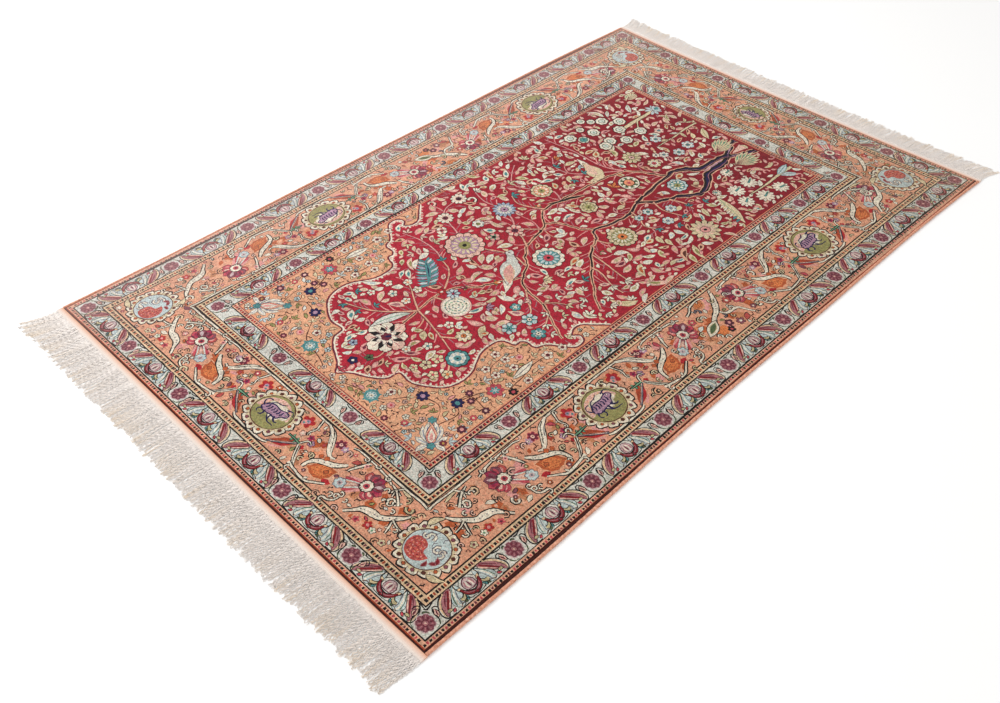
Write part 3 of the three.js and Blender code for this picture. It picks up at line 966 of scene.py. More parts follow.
def tall_lotus(pen, length):
    """A closed lotus along y: long ivory petals curl round a pink bud, with a teal foot and crown."""
    pen.at(1j * length * 0.86, 1j).fill(scalloped(length * 0.13, 6, 0.35, 4), "teal", "grey", 0.6)
    for way, reach, bend in ((1.6, 0.44, 0.5), (1.2, 0.5, -0.2), (0.85, 0.7, -0.5), (0.5, 0.8, -0.4)):
        for side in (1, -1):
            petal = pen.at(0, 1j * facing(way * side))
            petal.fill(leaf(length * reach, length * 0.16, bend * side, 0.6), "ivory", "grey", 0.7)
            vein = np.array((0.15, 0.5 * facing(0.5 * bend * side), 0.8 * facing(0.8 * bend * side)))
            petal.line(length * reach * vein, 1.5, "sky", step=9)
    pen.fill(leaf(length * 0.74, length * 0.3, 0, 0.4) * 1j, "peach", "indigo", 0.6)
    pen.fill(leaf(length * 0.52, length * 0.2, 0, 0.4) * 1j + length * 0.06j, "ivory", "rose", 0.8)
    pen.fill(leaf(length * 0.3, length * 0.1, 0, 0.4, 3) * 1j + length * 0.12j, "pink")
    pen.fill(scalloped(length * 0.12, 5, 0.3, 4) - 1j * length * 0.05, "teal", "indigo", 0.6)


def bud(pen, size, dye, tip, rim="black"):
    """A closed bud along x between two small sepals."""
    for side in (1, -1):
        sepal = leaf(size * 0.62, size * 0.26, 0.3 * side, 0.5, 3)
        pen.to(0, 0, 0.75 * side).fill(sepal, "olive", rim, 0.5)
    pen.fill(leaf(size, size * 0.55, 0, 0.45, 4), dye, rim, 0.7)
    pen.fill(size * 0.45 + leaf(size * 0.5, size * 0.22, 0, 0.45, 3), tip)


def leafy(pen, size, dye, rim="black", parts=3):
    """A spray of narrow leaves that spread from one foot."""
    for k in range(parts):
        way = (k - (parts - 1) / 2) * 1.5 / max(parts - 1, 1)
        reach = size * (1 - 0.25 * abs(way))
        pen.to(0, 0, way).fill(leaf(reach, size * 0.3, 0.35 * way, 0.58, 3), dye, rim, 0.6)


def feather(pen, length, width, dye, vein, rim="black", bend=0.3):
    """A long leaf with a serrated edge and a vein."""
    body = leaf(length, width, bend, 0.5, 9)
    body = body + 0.7 * facing(np.pi * np.arange(len(body)))
    pen.fill(body, dye, rim, 0.8)
    t = np.linspace(0.08, 0.85, 5)
    pen.line(length * t * facing(bend * t), 1.5, vein)


def fan(pen, length, width, dye, tip, rim="wine"):
    """A fan of feathers along y: leaves side by side from one foot."""
    for k in range(9):
        way = facing(1.57 + (k - 4) * 0.17)
        reach = length * (1 - 0.02 * (k - 4) ** 2)
        plume = pen.at((k - 4) * width * 0.045, way)
        plume.fill(leaf(reach, width * 0.26, 0, 0.66), dye, rim, 0.5)
        plume.fill(reach * 0.42 + leaf(reach * 0.45, width * 0.1, 0, 0.6, 3), tip)


def great_flower(pen, radius):
    """Eight fluted petals with black gaps between, round a ring of small ones and a wine heart."""
    for k in range(8):
        side = pen.to(0, 0, 0.25 * np.pi * (k + 0.4))
        reach = radius * (1 if k % 2 else 0.86)
        petal = radius * 0.3 + scalloped(reach * 0.36, 7, 0.14, 4, 1.3) + reach * 0.3
        side.fill(petal, "blush" if k % 3 == 1 else "ivory", "maroon", 1.0)
        for turn, dye in ((-0.5, "ivory"), (0, "old rose"), (0.5, "ivory")):
            side.line((reach * 0.42, reach * (0.86 * facing(0.35 * turn))), 1.2, dye, step=8)
    for k in range(8):
        gap = pen.to(0, 0, 0.25 * np.pi * (k + 0.9))
        gap.fill(radius * 0.3 + leaf(radius * (0.56 if k % 2 else 0.4), radius * 0.26, 0, 0.35, 3), "black")
    petals(pen, radius * 0.5, 8, "ivory", "grey", 0.3, 0.7, 0.1, 0.6, 0.6)
    pen.fill(scalloped(radius * 0.27, 6, 0.2, 4), "wine", "ivory", 0.9)
    pen.fill(leaf(radius * 0.34, radius * 0.16, 0.5, 0.5, 3) - radius * 0.1, "indigo")


def seeded_flower(pen, radius):
    """A round head in a pale ring, covered with rows of small teal and green strokes."""
    pen.fill(disc(radius, 30), "blush", "wine", 0.8)
    pen.fill(disc(radius * 0.86, 28), "ivory", "sage", 0.8)
    for ring, count in ((0.72, 19), (0.48, 13), (0.24, 6)):
        for k in range(count):
            way = facing(2 * np.pi * (k + 0.5 * ring) / count)
            dye = ("teal", "grey", "green", "moss")[k % 4]
            pen.at(radius * ring * way, way * facing(0.9)).fill(leaf(6.4, 2.6, 0.5, 0.5, 2) - 3, dye)


def plumed_wing(pen, length, width):
    """A teal wing: feathers down both sides of a dark quill."""
    for k in range(11):
        t = 0.08 + 0.8 * k / 10
        quill = length * t * facing(-0.25 * t)
        for side in (1, -1):
            size = width * (0.5 + 0.45 * np.sin(np.pi * t))
            plume = leaf(size, width * 0.24, 0.3 * side, 0.5, 3)
            dye = ("teal", "ice", "teal", "sky")[k % 4]
            pen.at(quill, facing(side * (2.2 - 0.9 * t))).fill(plume, dye, "wine", 0.6)
    pen.fill(leaf(length, width * 0.36, -0.25, 0.4, 6), "teal")
    pen.line(length * np.array((0.12, 0.35 * facing(-0.09), 0.6 * facing(-0.15))), (1.2, 2.2, 1), "indigo")


def bird(pen, length, dye, wing, bow, rim="wine"):
    """A perched bird with its tail at the pen and its breast along x. The neck turns by the bow."""
    pen.to(0, 0, -0.12).fill(leaf(length * 0.5, length * 0.15, 0.2, 0.6), "ivory", rim, 0.8)
    pen.at(length * 0.2, facing(0.02)).fill(leaf(length * 0.7, length * 0.34, 0, 0.58, 7), dye, rim, 0.9)
    neck = pen.at(length * 0.78, facing(bow))
    neck.line((0, length * 0.12, length * 0.24), (length * 0.2, length * 0.13, length * 0.1), dye, rim, 0.8)
    neck.fill(disc(length * 0.07, 9) + length * 0.25, dye, rim, 0.8)
    beak = neck.at(length * 0.3, facing(0.9 * np.sign(bow)))
    beak.fill(leaf(length * 0.13, length * 0.06, 0, 0.3, 3), "sand", rim, 0.5)
    neck.fill(disc(length * 0.02, 5) + length * 0.26, rim)
    pen.line(length * np.array((0.76, 0.84)), length * 0.15, dye)
    side = pen.at(length * 0.72 + 1j * length * 0.03, -1)
    side.fill(leaf(length * 0.48, length * 0.17, 0.15, 0.45), wing, "sand", 0.7)
    for k in range(4):
        quill = np.array((0.1+0.03j, 0.42+0.02j)) * length + (k - 1.5) * 0.032j * length
        side.line(quill, 1.0, "khaki", step=12)
    for x in (0.42, 0.5):
        pen.line(np.array((x - 0.14j, x + 0.02 - 0.26j)) * length, 1.8, rim, step=12)


# Field: the great tree. Two dark trunks rise from the far end, cross, run side by side and part
# round an open flower. Below, they join and branch down into the arch. Each is almost black
# with a peach edge, and the branches are peach or pink lines with a wine edge.
TREE = (  # route, width along it
    ((510+1258j, 516+1232j, 528+1206j, 541+1186j, 546+1160j, 545+1117j, 562+1096j, 575+1065j, 573+1043j,
      554+1014j, 545+991j, 529+962j, 510+937j, 520+906j, 522+873j, 508+815j, 519+803j, 531+792j),
     (11, 10, 11, 12, 12, 9, 8, 7, 5, 4.4, 3.6, 3, 2.6)),
    ((562+1256j, 556+1232j, 543+1206j, 530+1186j, 527+1160j, 526+1120j, 508+1104j, 492+1078j, 492+1060j,
      499+998j, 503+965j, 508+935j), (11, 10, 11, 12, 11, 8, 7, 5.4, 5)),
    ((531+794j, 540+772j, 554+754j, 579+725j, 598+704j, 619+685j, 637+668j, 662+652j), (4.5, 5, 4, 3, 2)),
    ((492+1052j, 473+1039j, 450+1027j, 419+1004j), (5, 4.5, 3.5)),
    ((419+1004j, 409+950j, 402+890j, 398+840j, 396+795j, 410+774j, 429+760j, 441+735j, 437+745j),
     (4, 4, 4.5, 4, 3)),
    ((437+745j, 446+715j, 455+687j, 474+663j, 493+646j, 510+619j, 537+598j, 583+592j, 610+579j, 637+565j,
      667+550j), (4, 4, 3.5, 3, 2)),
    ((508+815j, 492+800j, 470+790j, 446+782j, 429+760j), (4, 3, 3)),
    ((510+619j, 487+575j, 470+540j, 446+512j, 440+489j), (3, 3.5, 2.5)),
    ((440+489j, 437+470j, 444+427j, 450+389j), (3, 2.5)),
    ((419+883j, 404+850j, 391+810j), (5, 8, 3)),
)
BRANCHES = (  # route, dye of the shadow or of the whole
    ((419+1004j, 391+989j, 358+983j, 305+984j, 262+979j, 228+973j), "rose"),
    ((396+795j, 370+780j, 345+772j, 322+781j), "brown"),
    ((440+489j, 420+520j, 399+541j, 375+548j), "brown"),
    ((437+745j, 420+728j, 404+715j), "brown"),
    ((520+906j, 543+902j, 566+890j, 589+900j), "brown"),
    ((545+991j, 575+1002j, 598+1000j), "brown"),
    ((529+962j, 560+955j, 596+966j), "brown"),
    ((531+792j, 552+800j, 558+812j), "brown"),
    ((554+754j, 586+752j, 620+747j, 650+745j), "brown"),
    ((579+725j, 600+726j, 637+714j, 664+712j), "brown"),
    ((583+592j, 600+610j, 616+619j), "brown"),
    ((537+598j, 560+580j, 587+558j, 590+520j), "brown"),
    ((610+579j, 622+560j, 631+538j), "brown"),
    ((437+470j, 460+478j, 470+482j), "brown"),
    ((444+427j, 480+420j, 520+410j, 560+398j), "brown"),
    ((444+427j, 420+400j, 385+370j, 340+350j), "brown"),
    ((444+427j, 420+440j, 395+455j, 375+464j), "brown"),
    ((520+410j, 545+430j), "brown"),
    ((560+398j, 580+372j, 591+358j), "brown"),
    ((450+389j, 470+350j, 480+310j, 470+290j), "brown"),
    ((419+1004j, 380+950j, 350+920j, 314+914j, 285+935j), "rose"),
    ((398+840j, 370+850j, 350+835j, 300+810j, 272+830j, 250+860j), "rose"),
    ((455+687j, 430+700j, 404+706j), "brown"),
    ((493+646j, 450+650j, 410+630j, 371+608j), "brown"),
    ((404+706j, 380+725j, 343+739j, 300+730j, 262+738j), "rose"),
    ((371+608j, 330+625j, 284+639j, 262+660j, 256+700j), "rose"),
    ((375+548j, 340+560j, 300+560j, 262+550j), "rose"),
)
TRUNK_WIDTH = 8
THINNEST = 0.4
for extra, dye in ((2.0, "peach"), (0, "black"), (-4.6, "indigo")):
    for number, (route, widths) in enumerate(TREE):
        path = smooth(route, 9)
        count = len(path)
        knots = np.random.default_rng(number)
        path = path + knots.uniform(-2, 2, count) + 1j * knots.uniform(-2, 2, count)
        wide = np.interp(np.linspace(0, 1, count), np.linspace(0, 1, len(widths)), widths)
        wide = wide * (1.2 if max(widths) > TRUNK_WIDTH else 0.66)
        wide = wide * knots.uniform(0.6, 1.35, count) + 2 * extra
        if wide.max() > 2 * THINNEST:
            sheet.line(path, np.maximum(wide, THINNEST), dye, step=7)
for route, widths in TREE:
    if max(widths) > TRUNK_WIDTH:
        glint = np.maximum(np.array(widths) * 0.2 - 0.9, THINNEST)
        sheet.line(np.array(route) + 2.6, glint, "old rose", step=7)
sheet.line((536+1176j, 536+1150j, 536+1118j), (2, 4, 2), "lilac")
sheet.line((536+1250j, 536+1215j), (20, 2), "blush")
sheet.line((521+1228j, 531+1204j), 2.4, "lilac")
sheet.line((552+1228j, 541+1204j), 2.4, "lilac")
for route, dye in BRANCHES:
    if dye == "brown":
        sheet.line(np.array(route) + (0.9-1.5j), (2.6, 1.6), "brown", step=9)
    sheet.line(route, (3.2, 2.6, 1.8), "peach" if dye == "brown" else "pink", "wine", 0.5, 9)

# Field: the side trees. A slim cream trunk with white balls stands in the far left corner, one
# with ice flowers beside it, and one with white asters on the right. Two fans and a long pale
# feather hang by the great tree's trunks.
sheet.line((314+1235j, 316+1200j, 316+1162j, 318+1125j), (8, 7, 9, 8), "cream", "black", 0.8)
sheet.line((319+1168j, 337+1150j, 348+1144j), 2.5, "cream", "black", 0.6)
BALL, SMALL_BALL = (13.5, 8, 6.4), (9, 5, 4)
for x, y, (outer, ring, inner) in (
    (293, 1140, BALL), (348, 1144, BALL), (266, 1113, BALL), (314, 1115, BALL), (350, 1096, BALL),
    (251, 1094, SMALL_BALL), (283, 1067, BALL), (256, 1054, SMALL_BALL), (329, 1067, BALL),
    (335, 1046, BALL), (235, 1079, SMALL_BALL), (264, 1014, BALL),
):
    pen = sheet.to(x, y)
    pen.fill(scalloped(outer, 7, 0.14, 4), "ivory", "black", 1.2)
    pen.fill(disc(ring), "moss")
    pen.fill(disc(inner), "sage")
    pen.line((-3, 3+1j), 2.4, "green")
wheel(sheet.to(287, 1031), 12, 6, "ivory", "teal", "green", "teal")
for way in (-1.0, -0.5, 0, 0.5, 1.0):
    leafy(sheet.at(314+1228j, 1j * facing(way * 1.6)), 24, "ice", "wine", 2)
sheet.to(314, 1232).fill(leaf(14, 10, 0, 0.5) * 1j, "teal", "ice", 1.5)
fan(sheet.at(243+1215j, 1), 40, 30, "cream", "green")
sheet.line((411+1254j, 410+1215j, 413+1180j, 412+1125j), (4, 4, 3, 1.5), "cream", "black", 0.7)
for x, y, way, size, dye in (
    (433, 1248, -0.9, 44, "cream"), (394, 1239, 2.2, 18, "cream"), (394, 1239, 3.6, 16, "blush"),
    (394, 1239, 0.8, 16, "cream"), (411, 1200, -0.5, 22, "cream"), (411, 1195, 3.8, 20, "sage"),
    (412, 1170, -0.8, 20, "pink"), (412, 1160, 4.0, 22, "cream"), (366, 1200, 0.6, 18, "pink"),
    (260, 1205, -0.9, 34, "sage"), (247, 1154, -1.1, 26, "sage"), (289, 1183, 1.2, 16, "pink"),
    (233, 1196, 1.3, 18, "blush"), (240, 1165, 1.9, 16, "blush"),
):
    feather(sheet.to(x, y, way), size, size * 0.32, dye, "olive", "wine")
for x, y, r, dye in (
    (391, 1142, 13, "ice"), (452, 1173, 14, "ice"), (456, 1138, 13, "ice"), (391, 1117, 8, "pink"),
    (375, 1173, 11, "blush"), (440, 1108, 11, "sage"), (430, 1095, 8, "ivory"),
):
    bloom(sheet.to(x, y), r, 6, dye, "ivory", "teal", "wine")
sheet.line((649+1256j, 648+1215j, 650+1170j, 648+1117j), (7, 6, 4, 1.5), "cream", "black", 0.8)
feather(sheet.at(646+1214j, 1j * facing(0.2)), 42, 13, "ice", "teal", "teal", 0.0)
feather(sheet.at(652+1216j, 1j * facing(-0.4)), 36, 13, "ice", "grey", "grey", -0.3)
for x, y, way in ((621, 1237, 0.4), (628, 1212, 2.6), (677, 1222, -0.3), (684, 1240, 1.4), (600, 1250, 0)):
    curl(sheet.to(x, y, way), 14, "pink", None)
for x, y, r, way in (
    (570, 1146, 14, -1.4), (621, 1150, 19, -1.2), (675, 1181, 18, -1.8), (671, 1135, 20, -1.3),
    (621, 1108, 19, -1.4), (656, 1092, 18, -1.2), (598, 1075, 10, 0.4),
):
    pen = sheet.to(x, y, way)
    petals(pen, r, 11, "ivory", "wine", 0.1, 1.15, 0.3, 0.6, 0.7)
    pen.fill(disc(r * 0.5), "ivory")
    pen.line((r * -0.75, r * 0.15), (1.6, 3.4), "teal", "moss", 0.6)
fan(sheet.to(508, 1188, 0.16), 62, 34, "cream", "green")
fan(sheet.to(563, 1180, -0.16), 68, 34, "cream", "green")
curl(sheet.at(580+1184j, -1), 18, "blush", "wine")
QUILL_WAY = -0.32
feather(sheet.to(608, 1062, QUILL_WAY), 92, 22, "cream", "green", "wine", 0.0)
for k in range(8):
    barb = sheet.at(615 + 1058j + k * 10 * facing(QUILL_WAY), facing(-1.9))
    barb.fill(leaf(14, 5, 0.4, 0.5, 3), "ivory" if k < 6 else "teal", "wine", 0.5)

# Field: the large flowers and the birds. Round and rayed flowers hang between the great tree's
# branches, with two perched birds and a teal wing.
for x, y, r, lobes, outer, ring, inner, eye in (
    (527, 1041, 21, 9, "ice", "teal", "ivory", "olive"),
    (558, 835, 29, 14, "cream", "olive", "ivory", "orange"),
    (350, 835, 22, 10, "cream", "salmon", "ivory", "olive"),
    (505, 691, 30, 12, "ivory", "teal", "ice", "rose"),
    (371, 608, 38, 14, "blush", "lilac", "cream", "olive"),
    (576, 395, 20, 8, "teal", "ice", "ivory", "teal"),
    (452, 860, 18, 8, "cream", "olive", "cream", "olive"),
):
    wheel(sheet.to(x, y), r, lobes, outer, ring, inner, eye)
for x, y, r, count, outer, inner, eye in (
    (400, 1052, 21, 10, "cream", "olive", "blush"),
    (446, 1069, 15, 8, "cream", "sage", "rose"),
    (654, 962, 31, 12, "cream", "blush", "pink"),
    (343, 739, 24, 14, "sky", "ivory", "lilac"),
    (256, 700, 17, 10, "ivory", "blush", "plum"),
    (284, 639, 17, 10, "ivory", "blush", "wine"),
    (404, 706, 18, 8, "blush", "rose", "plum"),
    (545, 439, 15, 8, "cream", "ivory", "orange"),
    (566, 970, 12, 6, "ice", "ivory", "sky"),
    (587, 935, 12, 6, "ice", "ivory", "sky"),
    (542, 930, 11, 6, "ice", "ivory", "teal"),
    (543, 902, 9, 6, "ice", "ivory", "teal"),
    (596, 546, 15, 6, "ice", "teal", "ivory"),
    (631, 531, 14, 6, "teal", "ice", "ivory"),
    (587, 506, 14, 6, "ice", "teal", "teal"),
    (557, 552, 10, 5, "teal", "ice", "ivory"),
    (308, 608, 11, 4, "ivory", "pink", "rose"),
    (391, 664, 12, 5, "pink", "green", "black"),
    (341, 671, 12, 6, "sage", "ivory", "olive"),
):
    bloom(sheet.to(x, y), r, count, outer, inner, eye)
ringed = sheet.to(454, 979)
ringed.fill(disc(21), "ivory", "black", 1.0)
ringed.fill(disc(18), "moss")
for k in range(8):
    ringed.at(15 * facing(0.25 * np.pi * k)).fill(disc(3.2, 7), "ivory")
ringed.fill(disc(10.5), "salmon", "black", 0.9)
ringed.fill(disc(4), "rose")
seeded_flower(sheet.to(482, 481), 27)
great_flower(sheet.to(454, 346, 0.5), 38)
bird(sheet.at(324+967j, facing(-0.14), True), 96, "cream", "blush", 1.3)
bird(sheet.to(519, 565, 2.2), 112, "sage", "pink", 0.35)
plumed_wing(sheet.to(350, 527, -0.42), 80, 26)
petals(sheet.to(455, 500), 13, 7, "ice", "indigo", 0.2, 0.9)
feather(sheet.to(440, 414, -2.2), 76, 17, "sage", "green")
feather(sheet.to(608, 1014, -0.7), 30, 11, "cream", "olive", "wine")

# Field: the smaller flowers and leaves, each with its place, its way round in quarter turns
# and its size.
LEAFY = (  # x, y, quarter turns, size, dye, leaves
    (644, 741, 0.3, 17, "ivory", 4), (637, 712, -0.2, 16, "ivory", 4), (688, 708, 1.6, 15, "ivory", 4),
    (652, 687, -0.6, 15, "ivory", 3), (669, 673, 0.2, 15, "ivory", 4), (610, 666, 1.2, 14, "ivory", 4),
    (627, 654, -0.9, 14, "ivory", 4), (679, 650, 0.1, 14, "ivory", 4), (661, 625, 1.1, 18, "ivory", 3),
    (554, 665, 1.0, 16, "blush", 3), (540, 640, 0.4, 20, "cream", 5), (560, 683, 0.2, 13, "cream", 3),
    (589, 619, 0.7, 14, "ivory", 3), (616, 619, 0.1, 14, "cream", 3), (633, 633, 0.4, 13, "ivory", 3),
    (554, 625, 1.4, 14, "blush", 3), (629, 592, 0.6, 13, "cream", 3), (604, 579, -0.8, 13, "ivory", 3),
    (564, 583, -1.2, 13, "blush", 3), (625, 558, -0.4, 13, "ivory", 3), (646, 546, 0.3, 13, "ivory", 3),
    (673, 556, 1.1, 13, "cream", 3), (289, 806, 1.0, 16, "cream", 3), (322, 781, 0.8, 17, "teal", 3),
    (272, 875, 0.6, 18, "blush", 4), (249, 887, 1.4, 18, "cream", 4), (237, 860, 1.8, 14, "blush", 3),
    (235, 810, 0.5, 15, "ivory", 3), (260, 739, 1.0, 15, "ivory", 5), (293, 567, 0.4, 15, "blush", 3),
    (325, 573, 0.9, 15, "cream", 3), (268, 556, 1.4, 15, "blush", 3), (293, 535, -0.4, 14, "cream", 3),
    (320, 525, -1.1, 14, "blush", 3), (328, 382, 0.5, 12, "teal", 3), (381, 381, 0.9, 12, "teal", 3),
    (337, 346, -0.4, 12, "teal", 3), (368, 350, 0.2, 12, "teal", 3), (442, 943, 1.3, 20, "orange", 3),
    (291, 935, 0.8, 13, "orange", 5), (285, 952, 0.2, 12, "ivory", 5), (608, 937, 0.4, 13, "teal", 3),
    (596, 968, 0.1, 12, "teal", 3), (589, 904, -0.4, 13, "teal", 3), (598, 1033, 0.9, 13, "teal", 3),
    (587, 1000, 1.5, 12, "teal", 3), (591, 689, 0.9, 15, "teal", 3), (314, 914, 1.1, 15, "teal", 3),
    (371, 910, -0.6, 13, "teal", 3), (366, 937, 0.9, 13, "teal", 3), (345, 948, 0.4, 13, "ice", 3),
    (375, 548, 1.7, 14, "teal", 3), (520, 517, 0.4, 16, "lilac", 4), (501, 302, 0.6, 12, "cream", 3),
    (409, 319, 1.3, 12, "cream", 3), (460, 240, 1.0, 14, "rose", 3),
)
STARS = (  # x, y, radius, petals, dye, heart
    (375, 464, 9, 5, "ivory", "salmon"), (402, 463, 9, 5, "ivory", "olive"),
    (352, 437, 9, 5, "ivory", "salmon"), (379, 425, 9, 5, "ivory", "teal"),
    (410, 429, 9, 5, "ivory", "salmon"), (554, 371, 11, 5, "cream", "rose"),
    (591, 358, 10, 5, "cream", "orange"), (550, 348, 11, 5, "cream", "wine"),
    (575, 341, 10, 5, "cream", "rose"), (425, 298, 8, 5, "sky", "indigo"),
    (471, 294, 8, 5, "moss", "black"), (457, 271, 9, 5, "indigo", "ivory"),
    (437, 489, 9, 5, "red", "ivory"), (508, 440, 9, 5, "ivory", "rose"), (520, 380, 9, 5, "ivory", "teal"),
    (500, 350, 8, 5, "ivory", "salmon"), (540, 330, 8, 5, "cream", "rose"),
    (350, 400, 8, 5, "ivory", "rose"),
)
for x, y, quarter, size, dye, parts in LEAFY:
    leafy(sheet.to(x, y, 0.5 * np.pi * quarter), size, dye, "black", parts)
for x, y, r, count, dye, heart in STARS:
    pen = sheet.to(x, y)
    petals(pen, r, count, dye, "black", 0.1, 1.0, 0.3, 0.62, 0.6)
    pen.fill(disc(r * 0.3, 6), heart)
curl(sheet.at(285+715j, 1j), 18, "ivory")
curl(sheet.at(239+650j, 1j), 16, "blush")
for x, y, way, size, dye, tip in (
    (485, 571, 1.0, 14, "orange", "ivory"), (462, 527, 3.6, 12, "wine", "pink"),
    (383, 790, 2.0, 13, "salmon", "ivory"), (560, 770, 0.4, 13, "pink", "ivory"),
):
    bud(sheet.to(x, y, way), size, dye, tip)


# Field: the foliage. Thin pink twigs spring from both sides of every branch and curve away, with
# leaves along them, and curved single leaves then fill the crimson that is still bare. Each leaf
# is pale with a thin edge of deep red, and the larger ones have a darker middle.
LEAF_DYES = (  # body, middle
    ("pink", "khaki"), ("blush", "olive"), ("cream", "khaki"), ("pink", "khaki"), ("ivory", "sage"),
    ("blush", "khaki"), ("pink", "wine"), ("cream", "olive"), ("pink", "blush"), ("ivory", "khaki"),
    ("blush", "khaki"), ("peach", "brown"), ("ivory", "teal"), ("pink", "khaki"), ("cream", "rust"),
    ("ivory", "ice"), ("blush", "old rose"),
)
TWIG_DYES = ("pink", "pink", "peach", "old rose")
TWIG_STEP = 7.5
TREE_CROWN = 520 + 1000j
LARGE_LEAF = 15

rng = np.random.default_rng(5)
# The crimson ground takes in the three deeper crimsons of painted shade.
crimson = Ground(FIELD_LOW * (1+1j), FIELD_HIGH, ("crimson", "crimson 2", "crimson 3", "crimson 4"))
foliage = []
leaves = Pen(foliage)


def set_leaf(pen, size, width, bend, belly=0.5):
    """A leaf where there is room for it, or else a smaller one. Those nearer the near end are
    up to a quarter larger."""
    grown = np.interp(pen.origin.imag, (700, 1000), (1.25, 1))
    for share in (grown, 0.7 * grown):
        if crimson.take(pen, size * share, width * share, belly, 0.2):
            body, middle = LEAF_DYES[rng.integers(len(LEAF_DYES))]
            shape = leaf(size * share * 1.05, width * share * 1.2, bend, 0.43,
                         4 if size * share > 14 else 2)
            pen.fill(shape, body, "maroon", 0.45)
            if size * share > LARGE_LEAF:
                pen.fill(shape.mean() + (shape - shape.mean()) * 0.5, middle)
            break


def twig_route(start, way, length, bend):
    """The points of a twig and its way at each. It turns steadily by its bend over its length,
    and stops where it meets something."""
    route = [start]
    ways = [way]
    for step in range(int(length / TWIG_STEP)):
        pen = leaves.at(route[-1], facing(way))
        if not crimson.take(pen, TWIG_STEP, 0.6, 0.5, 0.5) and step:
            break
        route.append(route[-1] + TWIG_STEP * facing(way))
        way += bend * TWIG_STEP / length
        ways.append(way)
    return route, ways


twigs = []
routes = [(route, max(widths) / 2 + 5) for route, widths in TREE] + [(route, 4) for route, _ in BRANCHES]
for route, clear in routes:
    path = smooth(route, 11)
    for i, spot in enumerate(path[1:]):
        forward = np.angle(spot - path[i])
        for side in (1, -1):
            way = forward + side * rng.uniform(0.5, 0.9)
            foot = spot + clear * facing(way)
            twigs.append(twig_route(foot, way, rng.uniform(30, 66), side * rng.uniform(0.7, 1.5)))
for spot in crimson.seeds(34, rng):
    way = np.angle(spot - TREE_CROWN) + rng.uniform(-0.5, 0.5)
    twigs.append(twig_route(spot, way, rng.uniform(30, 60), rng.choice((-1, 1)) * rng.uniform(0.6, 1.4)))
for route, ways in twigs:
    if len(route) > 2:
        leaves.line(route, (2.2, 1.4), TWIG_DYES[len(route) % len(TWIG_DYES)], step=6)
for route, ways in twigs:
    for k in range(1, len(route)):
        for side in (1, -1):
            stalk = leaves.at(route[k] + 1.6j * side * facing(ways[k]), facing(ways[k] + side * 0.5))
            set_leaf(stalk, rng.uniform(17, 26), 8.8, side * 0.35)
    if len(route) > 2:
        set_leaf(leaves.at(route[-1], facing(ways[-1])), 24, 12, 0.1)
THIN_FROM, THIN_OVER = 560, 800  # from here on fewer leaves are set, and none this much further
for size, width, spacing in ((40, 9.5, 9), (30, 10, 8), (24, 9, 7), (18, 8, 6), (13, 6.4, 6)):
    for spot in crimson.seeds(spacing, rng):
        if rng.random() < (spot.imag - THIN_FROM) / THIN_OVER:
            continue
        flow = np.angle(spot - TREE_CROWN) + 0.9 * np.sin(spot.real / 31 + spot.imag / 57)
        flow += rng.uniform(-0.35, 0.35)
        set_leaf(leaves.at(spot, facing(flow)), size, width, rng.choice((-1, 1)) * rng.uniform(0.3, 0.8))
drawing[FIELD_START:FIELD_START] = foliage


